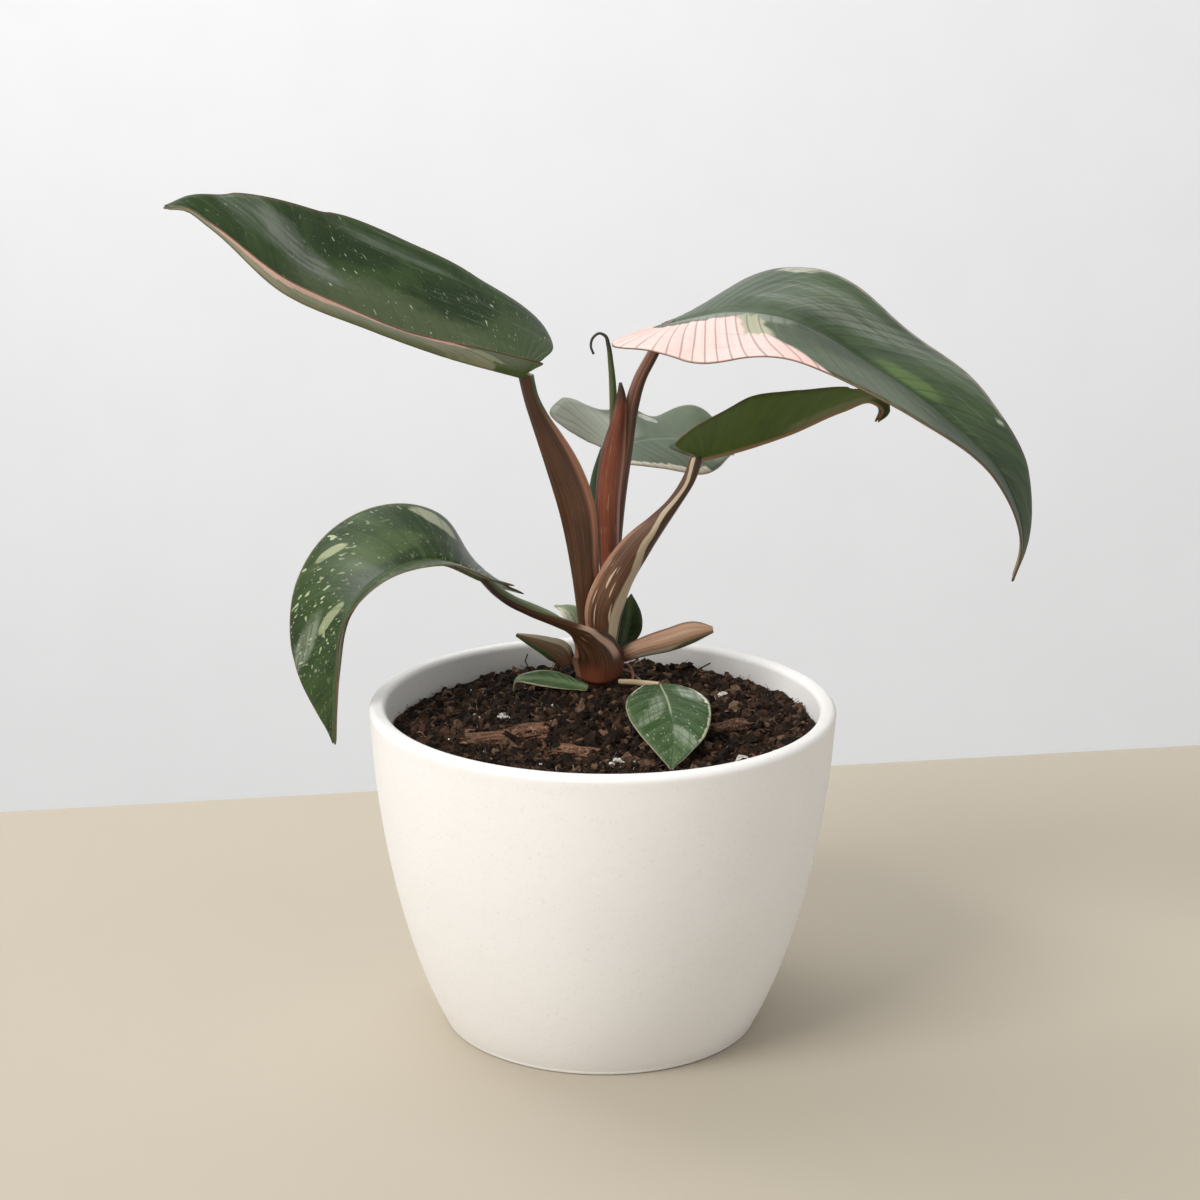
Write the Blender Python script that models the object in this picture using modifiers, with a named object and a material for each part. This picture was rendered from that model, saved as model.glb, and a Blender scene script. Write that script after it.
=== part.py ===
"""A pink princess philodendron growing in a white planter.

Metres, +Z up. The origin is the centre of the planter's base and -Y is the front.
Sizes below are in millimetres and angles in degrees. A leaf's left and right are those of
someone looking from its joint towards its tip, with its upper face upwards.
"""
import math

import bmesh
import bpy
import numpy as np
from mathutils import Vector, noise
from mathutils.geometry import interpolate_bezier

MM = 0.001
CLEARANCE = 0.4

# Planter: an outer curve from the foot to the rim, a wall of even thickness, a flat base.
POT_HEIGHT = 107.0
POT_RIM_RADIUS = 75.0
POT_BASE_RADIUS = 50.7
POT_FOOT_HANDLE = (51.5, 0.0)
POT_RIM_HANDLE = (72.0, 37.5)
POT_WALL = 5.4
POT_FLOOR = 6.0
POT_LIP_ROUND = 2.0
POT_FOOT_ROUND = 1.4
POT_INNER_CORNER = 12.0
TURNING_STEPS = 56
STEM_STEPS = 24

# Soil: level at the wall, a low mound round the stem, and crumbs in its surface.
SOIL_WALL_LEVEL = 97.3
SOIL_SIDE_SLOPE = 0.027
SOIL_MOUND_HEIGHT = 9.0
SOIL_MOUND_SPREAD = 24.0
SOIL_RINGS = 18
CRUMB_HEIGHT = 1.3
CRUMB_SIZE = 7.5

# Stem: a short swollen stock that stands in a plain hole in the soil.
STEM_CENTRE = (-1.0, 23.0)
STEM_FOOT = 80.0
STEM_TOP = 117.0
STEM_SHOULDER = 108.5
STEM_RADIUS = 7.2
STEM_BURIED_RADIUS = 6.4
ROOT_RADIUS = 0.7

# Leaves: outlines for half a blade, from its base to its tip, as shares of the leaf's length
# and of its half width. Rises are read along the blade at these shares of its length.
OUTLINES = {
    "heart": [
        (-0.08, 0.26), (-0.13, 0.50), (-0.09, 0.78), (0.05, 0.96), (0.22, 1.00), (0.42, 0.92),
        (0.60, 0.74), (0.76, 0.48), (0.88, 0.24), (0.95, 0.10), (1.00, 0.03),
    ],
    "egg": [
        (-0.01, 0.12), (0.00, 0.30), (0.03, 0.56), (0.10, 0.82), (0.22, 1.00), (0.38, 0.97),
        (0.56, 0.78), (0.74, 0.48), (0.88, 0.23), (0.95, 0.10), (1.00, 0.03),
    ],
    "eared": [
        (-0.05, 0.20), (-0.10, 0.42), (-0.13, 0.70), (-0.06, 0.87), (0.08, 0.96), (0.26, 1.00),
        (0.46, 0.97), (0.64, 0.90), (0.80, 0.74), (0.92, 0.45), (1.00, 0.04),
    ],
}
HEART_LOBE = 0.13
OUTLINE_WIDEST = 0.22
RISE_PLACES = (-0.13, 0.0, 0.2, 0.4, 0.6, 0.8, 1.0)
VEIN_SWEEP = 2.0
VEIN_CURVE = 1.35
BLADE_THICKNESS = 0.7

# Each blade: points of its midrib from the joint to the tip, the compass heading of its arch,
# and for each half its width, how long its lobe is behind the joint and how far along its
# widest part lies (as shares of the length), its rise above level, and how much it arches.
BLADES = {
    "blade_upper_left": {
        "midrib": [
            (-25.7, 19, 209.8), (-48.7, 16, 216.2), (-74.4, 11, 226.0), (-100, 7, 237.4),
            (-122.2, 4, 257.8), (-129.5, 3, 263.0), (-136.0, 3, 263.3),
        ],
        "heading": -172,
        "left": {
            "width": 33, "lobe": 0.01, "widest": 0.30, "arch": -10,
            "rise": (22, 22, 20, 17, 19, 14, 10),
        },
        "right": {
            "width": 35, "lobe": 0.07, "widest": 0.40, "arch": -14,
            "rise": (23, 37, 53, 58, 66, 71, 36),
        },
        "rows": 20, "across": 5, "colour": (0.035, 0.095, 0.035),
    },
    "blade_upper_right": {
        "midrib": [
            (19.9, 19, 226.5), (40.1, 8, 232.3), (56.6, -2, 231.8), (80.8, -17, 220.0),
            (101.8, -31, 206.7), (118.5, -41, 190.6), (124.2, -46, 169.8), (121.8, -47, 160.5),
        ],
        "heading": -33,
        "left": {
            "width": 36, "lobe": 0.08, "widest": 0.24, "arch": -10,
            "rise": (-30, 8, 20, 10, 12, 7, -10),
        },
        "right": {
            "width": 36, "lobe": 0.055, "widest": 0.24, "arch": -8,
            "rise": (0, -4, -14, 6, 12, 20, 24),
        },
        "rows": 22, "across": 5, "colour": (0.04, 0.10, 0.045),
    },
    "blade_right": {
        "midrib": [
            (29.4, 14, 184.0), (42.1, 20, 185.8), (59.8, 27, 190.1), (77.2, 33, 196.3),
            (87.0, 36, 198.4), (90.5, 37, 195.5), (88.5, 35.5, 192.0),
        ],
        "heading": 21,
        "left": {
            "width": 23, "lobe": 0.02, "widest": 0.24, "arch": -8,
            "rise": (5, 5, 8, 8, 8, 8, 0),
        },
        "right": {
            "width": 24, "lobe": 0.15, "widest": 0.24, "arch": -8,
            "rise": (48, 52, 58, 56, 52, 45, 30),
        },
        "rows": 16, "across": 4, "colour": (0.06, 0.13, 0.02),
    },
    "blade_back": {
        "midrib": [
            (0.3, 51, 178.5), (12.2, 55.5, 180.9), (26, 61, 180.4), (36.7, 65.5, 177.6),
            (43.8, 68.5, 173.6),
        ],
        "heading": 22,
        "left": {
            "width": 28, "lobe": 0.26, "widest": 0.26, "arch": -8, "outline": "eared",
            "rise": (46, 34, 17, 15, 10, 30, 30),
        },
        "right": {
            "width": 22, "lobe": 0.03, "widest": 0.42, "arch": -8,
            "rise": (0, 0, -8, -15, -20, -16, 0),
        },
        "rows": 14, "across": 4, "colour": (0.07, 0.13, 0.08),
    },
    "blade_lower_left": {
        "midrib": [
            (-39.3, 12, 144.6), (-53.2, 9, 150.6), (-67.6, 6, 147.8), (-81.1, 3, 135.3),
            (-85.1, 0, 116.2), (-86.0, -1, 103.4), (-86.3, -2, 92.2),
        ],
        "heading": -168,
        "left": {
            "width": 24, "lobe": 0.08, "widest": 0.24, "arch": -6,
            "rise": (18, 14, 14, 16, 14, 8, 4),
        },
        "right": {
            "width": 27, "lobe": 0.20, "widest": 0.32, "arch": -10,
            "rise": (-10, 6, 34, 46, 46, 54, 50),
        },
        "rows": 18, "across": 4, "colour": (0.03, 0.10, 0.03),
    },
    "blade_front": {
        "midrib": [
            (18.4, 0, 112.2), (20.6, -12, 110.4), (22.0, -27, 105.6), (21.2, -45, 99.3),
        ],
        "heading": -86, "outline": "egg",
        "left": {
            "width": 12.6, "lobe": 0.0, "widest": 0.32, "arch": -8,
            "rise": (8, 8, 10, 10, 8, 6, 4),
        },
        "right": {
            "width": 14.0, "lobe": 0.0, "widest": 0.32, "arch": -8,
            "rise": (8, 8, 10, 10, 8, 6, 4),
        },
        "rows": 12, "across": 3, "colour": (0.10, 0.22, 0.08),
    },
    "blade_low_left": {
        "midrib": [
            (-5.0, 11.5, 107.6), (-15.3, 12.5, 109.6), (-23.4, 14, 110.0), (-28.3, 15, 108.8),
            (-29.3, 15, 105.0),
        ],
        "heading": 175, "outline": "egg",
        "left": {
            "width": 3.6, "lobe": 0.05, "widest": 0.40, "arch": -10,
            "rise": (-25, -25, -25, -20, -20, -10, 0),
        },
        "right": {
            "width": 3.6, "lobe": 0.05, "widest": 0.40, "arch": 10,
            "rise": (35, 35, 35, 35, 30, 20, 10),
        },
        "rows": 10, "across": 2, "colour": (0.05, 0.16, 0.05),
    },
    "blade_back_left": {
        "midrib": [(-7.0, 31, 117.5), (-8.8, 34, 122.4), (-11.8, 37, 126.4), (-16.4, 39, 127.8)],
        "heading": 150,
        "left": {
            "width": 7.0, "lobe": 0.08, "widest": 0.30, "arch": -6,
            "rise": (15, 15, 15, 15, 12, 10, 5),
        },
        "right": {
            "width": 7.0, "lobe": 0.08, "widest": 0.30, "arch": -6,
            "rise": (15, 15, 15, 15, 12, 10, 5),
        },
        "rows": 9, "across": 2, "colour": (0.09, 0.18, 0.10),
    },
    "blade_back_right": {
        "midrib": [(6.4, 31, 115.5), (7.6, 33, 120.0), (8.8, 34.5, 127.0), (9.2, 36, 133.0)],
        "heading": 80, "outline": "egg",
        "left": {
            "width": 5.4, "lobe": 0.08, "widest": 0.36, "arch": -6,
            "rise": (12, 12, 12, 12, 10, 8, 5),
        },
        "right": {
            "width": 5.0, "lobe": 0.08, "widest": 0.36, "arch": -6,
            "rise": (12, 12, 12, 12, 10, 8, 5),
        },
        "rows": 9, "across": 2, "colour": (0.03, 0.11, 0.02),
    },
}

# Stalks, sheaths and bracts: (x, y, z, width, thickness, wrap, turn) along each, where wrap is
# how far the section's edges reach round what it clasps and turn is its twist on its path.
STALKS = {
    "petiole_upper_left": {
        "blade": "blade_upper_left",
        "stations": [
            (-4.5, 22.0, 117.5, 6.0, 3.0, 0.4, 0), (-5.0, 21.5, 132.0, 8.0, 3.2, 0.6, 0),
            (-6.5, 20.5, 148.0, 9.6, 3.4, 0.8, 0), (-8.8, 20.0, 165.0, 12.0, 3.4, 1.2, 0),
            (-13.9, 20.0, 180.0, 10.8, 3.4, 1.2, 0), (-17.6, 20.0, 188.0, 8.6, 3.4, 1.0, 0),
            (-20.8, 20.0, 194.5, 6.4, 3.6, 0.6, 0), (-23.6, 19.6, 201.5, 5.0, 4.0, 0.3, 0),
        ],
        "colour": (0.11, 0.045, 0.025),
    },
    "petiole_upper_right": {
        "blade": "blade_upper_right",
        "stations": [
            (2.2, 26.8, 117.5, 4.0, 3.4, 0.0, 0), (2.0, 27.2, 135.0, 4.6, 3.8, 0.0, 0),
            (3.0, 27.4, 150.0, 5.0, 4.0, 0.0, 0), (4.4, 27.2, 167.0, 5.0, 4.0, 0.0, 0),
            (6.6, 26.6, 185.0, 5.0, 4.2, 0.0, 0), (8.3, 25.2, 198.0, 4.8, 4.2, 0.0, 0),
            (10.8, 23.2, 207.5, 4.2, 4.0, 0.0, 0), (15.0, 20.6, 216.5, 3.8, 3.6, 0.0, 0),
        ],
        "colour": (0.17, 0.055, 0.035),
    },
    "petiole_right": {
        "blade": "blade_right",
        "stations": [
            (0.0, 17.0, 117.5, 8.5, 2.2, 2.2, 0), (-0.2, 15.6, 124.0, 10.5, 2.4, 2.8, 0),
            (0.0, 14.6, 132.0, 12.4, 2.6, 3.0, 0), (3.6, 14.0, 143.0, 11.6, 2.8, 2.8, 0),
            (10.8, 13.4, 155.0, 9.6, 3.0, 2.0, 0), (16.9, 13.0, 162.6, 6.4, 3.4, 1.0, 0),
            (22.2, 13.0, 169.5, 4.4, 3.8, 0.2, 0), (27.2, 13.4, 178.0, 4.2, 3.8, 0.0, 0),
        ],
        "colour": (0.16, 0.07, 0.04),
    },
    "petiole_back": {
        "blade": "blade_back",
        "stations": [
            (-3.0, 27.4, 118.4, 3.2, 3.2, 0.0, 0), (-3.2, 36.0, 133.8, 3.4, 3.4, 0.0, 0),
            (-3.4, 44.0, 152.5, 3.6, 3.6, 0.0, 0), (-2.8, 50.0, 168.7, 3.8, 3.8, 0.0, 0),
        ],
        "colour": (0.035, 0.085, 0.03),
    },
    "petiole_lower_left": {
        "blade": "blade_lower_left",
        "stations": [
            (-1.5, 14.3, 108.6, 14.6, 1.8, 5.4, 0), (-1.5, 13.9, 113.5, 17.0, 1.8, 6.0, 0),
            (-2.6, 13.0, 119.0, 15.0, 1.9, 3.6, 0), (-7.2, 11.8, 125.0, 10.0, 2.4, 1.2, 35),
            (-14.6, 11.4, 129.8, 7.0, 3.6, 1.4, 75), (-23.5, 11.0, 134.0, 5.2, 4.2, 0.8, 90),
            (-29.6, 11.2, 136.8, 4.4, 4.0, 0.6, 90), (-34.8, 11.8, 140.3, 4.0, 3.6, 0.4, 90),
        ],
        "colour": (0.10, 0.05, 0.03),
    },
    "petiole_front": {
        "blade": "blade_front",
        "stations": [
            (5.6, 15.8, 108.6, 1.8, 1.6, 0.0, 0), (9.0, 11.0, 110.0, 1.9, 1.6, 0.0, 0),
            (13.4, 4.6, 111.6, 2.0, 1.6, 0.0, 0),
        ],
        "colour": (0.52, 0.40, 0.25),
    },
    "petiole_back_left": {
        "blade": "blade_back_left",
        "stations": [(-8.2, 28.4, 106.2, 1.8, 1.6, 0.0, 0), (-7.9, 29.6, 112.5, 1.6, 1.6, 0.0, 0)],
        "colour": (0.10, 0.07, 0.03),
    },
    "petiole_back_right": {
        "blade": "blade_back_right",
        "stations": [(6.0, 29.4, 106.2, 1.8, 1.6, 0.0, 0), (6.2, 30.2, 111.5, 1.6, 1.6, 0.0, 0)],
        "colour": (0.08, 0.08, 0.03),
    },
    "sheath_new_leaf": {
        "stations": [
            (2.2, 20.4, 117.5, 3.6, 1.3, 0.6, 0), (1.8, 20.6, 135.0, 5.0, 1.5, 1.2, 0),
            (1.4, 20.6, 152.0, 6.8, 1.6, 2.4, 0), (1.0, 20.6, 168.0, 8.2, 1.6, 3.0, 0),
            (3.0, 20.8, 186.0, 7.4, 1.6, 2.8, 0), (4.4, 21.2, 195.0, 4.8, 1.5, 1.4, 0),
            (5.0, 21.6, 203.0, 2.8, 1.3, 0.5, 0), (4.7, 21.8, 206.8, 0.9, 0.8, 0.0, 0),
        ],
        "colour": (0.22, 0.05, 0.035),
    },
    "new_leaf": {
        "stations": [
            (1.5, 23.4, 117.5, 1.8, 1.8, 0.0, 0), (1.0, 23.7, 150.0, 2.4, 2.4, 0.0, 0),
            (1.6, 24.2, 175.0, 2.6, 2.4, 0.0, 0), (2.6, 25.0, 195.0, 2.6, 2.4, 0.0, 0),
            (2.3, 24.2, 204.5, 2.4, 2.0, 0.0, 0), (1.6, 22.2, 212.6, 1.9, 1.8, 0.0, 0),
            (0.7, 20.6, 219.2, 1.4, 1.4, 0.0, 0), (-0.2, 20.0, 222.0, 1.1, 1.1, 0.0, 0),
            (-2.0, 20.0, 222.9, 0.9, 0.9, 0.0, 0), (-4.1, 20.0, 221.5, 0.9, 0.9, 0.0, 0),
            (-4.8, 20.0, 218.6, 0.8, 0.8, 0.0, 0), (-3.9, 20.0, 216.2, 0.8, 0.8, 0.0, 0),
        ],
        "rings": 26, "colour": (0.07, 0.15, 0.05),
    },
    "bract_right": {
        "stations": [
            (8.6, 20.4, 117.0, 4.0, 1.6, 0.8, 0), (12.4, 18.8, 118.8, 6.6, 1.6, 1.8, 0),
            (21.6, 17.2, 122.0, 8.0, 1.6, 2.2, 0), (31.0, 17.0, 125.4, 6.4, 1.4, 1.6, 0),
            (35.8, 17.0, 126.2, 2.2, 1.0, 0.2, 0),
        ],
        "colour": (0.24, 0.12, 0.08),
    },
    "bract_left": {
        "stations": [
            (-11.6, 19.8, 113.4, 6.0, 1.6, 1.2, 0), (-14.4, 18.6, 117.0, 8.4, 1.6, 1.8, 0),
            (-18.6, 17.4, 119.6, 6.6, 1.6, 1.6, 0), (-23.8, 16.4, 122.2, 4.0, 1.4, 0.8, 0),
            (-28.4, 16.0, 124.2, 1.2, 1.0, 0.1, 0),
        ],
        "colour": (0.16, 0.08, 0.045),
    },
}
STALK_SIDES = 12
STALK_RINGS = 12

# Thin roots that leave the stem above the soil: points of each, all ending in the stem.
ROOTS = [
    [(4.0, 23.5, 112.5), (8.6, 22.0, 112.0), (9.8, 18.6, 109.8), (9.2, 14.6, 107.8)],
    [(4.0, 24.5, 110.0), (8.4, 24.6, 109.2), (11.2, 22.6, 107.9), (12.6, 19.4, 107.6)],
]

# Flakes of bark on the soil: centre, half sizes, and turn about the vertical.
BARK = {
    "bark_flake_large": {"centre": (-31.0, -13.0), "half": (12.5, 4.0, 1.1), "turn": 6},
    "bark_flake_small": {"centre": (-8.0, -30.0), "half": (6.0, 3.2, 1.1), "turn": -25},
    "bark_flake_right": {"centre": (41.0, -6.0), "half": (6.5, 2.6, 1.0), "turn": 35},
}

POT_COLOUR = (0.83, 0.80, 0.76)
SOIL_COLOUR = (0.045, 0.025, 0.015)
STEM_COLOUR = (0.16, 0.06, 0.035)
BARK_COLOUR = (0.26, 0.11, 0.07)


def clear_scene():
    for obj in list(bpy.data.objects):
        bpy.data.objects.remove(obj, do_unlink=True)


def new_collection(name):
    collection = bpy.data.collections.new(name)
    bpy.context.scene.collection.children.link(collection)
    return collection


def paint(obj, colour, roughness):
    material = bpy.data.materials.new(obj.name)
    material.use_nodes = True
    shader = material.node_tree.nodes["Principled BSDF"]
    shader.inputs["Base Color"].default_value = (*colour, 1.0)
    shader.inputs["Roughness"].default_value = roughness
    shader.inputs["Metallic"].default_value = 0.0
    obj.data.materials.clear()
    obj.data.materials.append(material)


def add_object(name, mesh, collection):
    obj = bpy.data.objects.new(name, mesh)
    collection.objects.link(obj)
    return obj


def made_mesh(obj):
    """Turn an object's modifiers or curve into its plain mesh and return the new object."""
    name, collection = obj.name, obj.users_collection[0]
    depsgraph = bpy.context.evaluated_depsgraph_get()
    mesh = bpy.data.meshes.new_from_object(obj.evaluated_get(depsgraph))
    place = obj.matrix_world.copy()
    bpy.data.objects.remove(obj, do_unlink=True)
    bm = bmesh.new()
    bm.from_mesh(mesh)
    bmesh.ops.remove_doubles(bm, verts=bm.verts, dist=0.01 * MM)
    bm.to_mesh(mesh)
    bm.free()
    result = add_object(name, mesh, collection)
    result.matrix_world = place
    return result


def through(points, count):
    """Return count rows along a smooth curve through the given rows, spaced by length."""
    rows = np.array(points, dtype=float)
    knots = np.concatenate(([0.0], np.cumsum(np.linalg.norm(np.diff(rows[:, :3], axis=0), axis=1))))
    slopes = np.gradient(rows, knots, axis=0)
    places = np.linspace(0.0, knots[-1], count)
    first = np.clip(np.searchsorted(knots, places, side="right") - 1, 0, len(rows) - 2)
    span = (knots[first + 1] - knots[first])[:, None]
    t = (places - knots[first])[:, None] / span
    return (
        (2 * t**3 - 3 * t**2 + 1) * rows[first]
        + (t**3 - 2 * t**2 + t) * span * slopes[first]
        + (3 * t**2 - 2 * t**3) * rows[first + 1]
        + (t**3 - t**2) * span * slopes[first + 1]
    )


def unit(rows):
    return rows / np.linalg.norm(rows, axis=-1, keepdims=True)


def turned(name, profile, steps, collection):
    """Turn a profile of (radius, height) about Z. It runs down its outer side."""
    mesh = bpy.data.meshes.new(name)
    points = [(radius * MM, 0.0, height * MM) for radius, height in profile]
    mesh.from_pydata(points, [(i, i + 1) for i in range(len(points) - 1)], [])
    obj = add_object(name, mesh, collection)
    screw = obj.modifiers.new("Turn", "SCREW")
    screw.steps = steps
    screw.render_steps = steps
    screw.use_merge_vertices = True
    screw.merge_threshold = 0.00001
    return made_mesh(obj)


def pot_outer_curve(count):
    corners = [(POT_BASE_RADIUS, 0.0), POT_FOOT_HANDLE, POT_RIM_HANDLE, (POT_RIM_RADIUS, POT_HEIGHT)]
    curve = interpolate_bezier(*[Vector((r, h, 0.0)) for r, h in corners], count)
    return [(point.x, point.y) for point in curve]


def pot_outer_radius(height):
    curve = pot_outer_curve(200)
    return float(np.interp(height, [h for _, h in curve], [r for r, _ in curve]))


def quarter(centre, radius_r, radius_h, start, steps):
    """Points of a quarter round, clockwise from the start angle, in (radius, height)."""
    angles = [math.radians(start - 90.0 * i / steps) for i in range(steps + 1)]
    return [(centre[0] + radius_r * math.cos(a), centre[1] + radius_h * math.sin(a)) for a in angles]


def pot_inner_wall():
    """The inner wall from its floor corner up to just below the lip."""
    low, high = POT_FLOOR + POT_INNER_CORNER, POT_HEIGHT - POT_LIP_ROUND
    heights = [low + (high - low) * i / 6 for i in range(7)]
    return [(pot_outer_radius(h) - POT_WALL, h) for h in heights]


def floor_corner(inset, floor):
    """Points round the inner corner, from the floor out to the wall, set in by the inset."""
    radius = pot_outer_radius(POT_FLOOR + POT_INNER_CORNER) - POT_WALL - inset
    centre = (radius - POT_INNER_CORNER, POT_FLOOR + POT_INNER_CORNER)
    arc = quarter(centre, POT_INNER_CORNER, centre[1] - floor, 0, 4)
    return arc[::-1]


def build_pot(collection):
    inner = pot_inner_wall()
    outer = pot_outer_curve(12)[::-1]
    top = POT_HEIGHT - POT_LIP_ROUND
    lip_centre_in = (POT_RIM_RADIUS - POT_WALL + POT_LIP_ROUND, top)
    lip_centre_out = (POT_RIM_RADIUS - POT_LIP_ROUND, top)
    profile = [(0.0, POT_FLOOR)] + floor_corner(0.0, POT_FLOOR) + inner[1:-1]
    profile += quarter(lip_centre_in, POT_LIP_ROUND, POT_LIP_ROUND, 180, 3)
    profile += quarter(lip_centre_out, POT_LIP_ROUND, POT_LIP_ROUND, 90, 3)
    profile += [point for point in outer if POT_FOOT_ROUND < point[1] < top - 1.0]
    foot = (pot_outer_radius(POT_FOOT_ROUND) - POT_FOOT_ROUND, POT_FOOT_ROUND)
    profile += quarter(foot, POT_FOOT_ROUND, POT_FOOT_ROUND, 0, 3)
    profile.append((0.0, 0.0))
    pot = turned("pot", profile, TURNING_STEPS, collection)
    pot.data.shade_smooth()
    pot.data.set_sharp_from_angle(angle=math.radians(40))
    paint(pot, POT_COLOUR, 0.75)


def soil_level(x, y):
    """The soil's smooth surface, without its crumbs."""
    away = ((x - STEM_CENTRE[0]) ** 2 + (y - STEM_CENTRE[1] + 3.0) ** 2) / (2 * SOIL_MOUND_SPREAD**2)
    return SOIL_WALL_LEVEL + SOIL_SIDE_SLOPE * x + SOIL_MOUND_HEIGHT * math.exp(-away)


def soil_height(x, y):
    place = Vector((x / CRUMB_SIZE, y / CRUMB_SIZE, 3.7))
    crumbs = noise.noise(place) + 0.6 * noise.noise(place * 2.1)
    from_stem = math.hypot(x - STEM_CENTRE[0], y - STEM_CENTRE[1])
    calm = min(1.0, max(0.25, (from_stem - STEM_RADIUS) / 12.0))
    return soil_level(x, y) + CRUMB_HEIGHT * crumbs * calm


def build_soil(collection, cutters):
    wall = pot_inner_wall()
    side = [(r - CLEARANCE, h) for r, h in wall if h < SOIL_WALL_LEVEL - 6.0]
    radius = float(np.interp(SOIL_WALL_LEVEL, [h for _, h in wall], [r for r, _ in wall])) - CLEARANCE
    marker = POT_HEIGHT
    profile = [(radius * i / SOIL_RINGS, marker) for i in range(SOIL_RINGS + 1)]
    profile += side[::-1] + floor_corner(CLEARANCE, POT_FLOOR + CLEARANCE)[:-1][::-1]
    profile.append((0.0, POT_FLOOR + CLEARANCE))
    soil = turned("soil", profile, TURNING_STEPS, collection)
    for vertex in soil.data.vertices:
        if vertex.co.z > (marker - 0.1) * MM:
            vertex.co.z = soil_height(vertex.co.x / MM, vertex.co.y / MM) * MM
    bm = bmesh.new()
    bm.from_mesh(soil.data)
    bmesh.ops.triangulate(bm, faces=bm.faces)
    bm.to_mesh(soil.data)
    bm.free()
    bpy.ops.mesh.primitive_cylinder_add(
        vertices=32, radius=(STEM_BURIED_RADIUS + CLEARANCE) * MM, depth=(POT_HEIGHT - STEM_FOOT + 20.0) * MM,
        location=(STEM_CENTRE[0] * MM, STEM_CENTRE[1] * MM, (STEM_FOOT + POT_HEIGHT + 18.0) / 2 * MM),
    )
    hole = bpy.context.object
    hole.name = "stem_hole"
    for owner in hole.users_collection:
        owner.objects.unlink(hole)
    cutters.objects.link(hole)
    hole.hide_render = True
    hole.display_type = "WIRE"
    cut = soil.modifiers.new("Stem hole", "BOOLEAN")
    cut.operation = "DIFFERENCE"
    cut.object = hole
    paint(soil, SOIL_COLOUR, 0.95)


def tube(name, points, radius, collection):
    """A thin round tube along hand-placed points, closed at its ends."""
    curve = bpy.data.curves.new(name, "CURVE")
    curve.dimensions = "3D"
    curve.bevel_depth = radius * MM
    curve.bevel_resolution = 1
    curve.use_fill_caps = True
    curve.render_resolution_u = 0
    spline = curve.splines.new("POLY")
    rows = through(points, 8)
    spline.points.add(len(rows) - 1)
    for point, row in zip(spline.points, rows):
        point.co = (*(row * MM), 1.0)
    return made_mesh(add_object(name, curve, collection))


def build_stem(collection):
    profile = [
        (0.0, STEM_TOP), (STEM_RADIUS - 1.2, STEM_TOP), (STEM_RADIUS - 0.3, STEM_TOP - 1.0),
        (STEM_RADIUS, STEM_TOP - 3.5), (STEM_RADIUS - 0.2, STEM_SHOULDER + 1.5),
        (STEM_BURIED_RADIUS, STEM_SHOULDER), (STEM_BURIED_RADIUS, 96.0),
        (STEM_BURIED_RADIUS - 1.6, STEM_FOOT + 3.0), (STEM_BURIED_RADIUS - 3.4, STEM_FOOT), (0.0, STEM_FOOT),
    ]
    stem = turned("stem", profile, STEM_STEPS, collection)
    for vertex in stem.data.vertices:
        vertex.co.x += STEM_CENTRE[0] * MM
        vertex.co.y += STEM_CENTRE[1] * MM
    for number, points in enumerate(ROOTS):
        root = tube(f"root_{number}", points, ROOT_RADIUS, collection)
        join = stem.modifiers.new("Root", "BOOLEAN")
        join.operation = "UNION"
        join.object = root
        stem = made_mesh(stem)
        bpy.data.objects.remove(root, do_unlink=True)
    paint(stem, STEM_COLOUR, 0.55)


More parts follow.
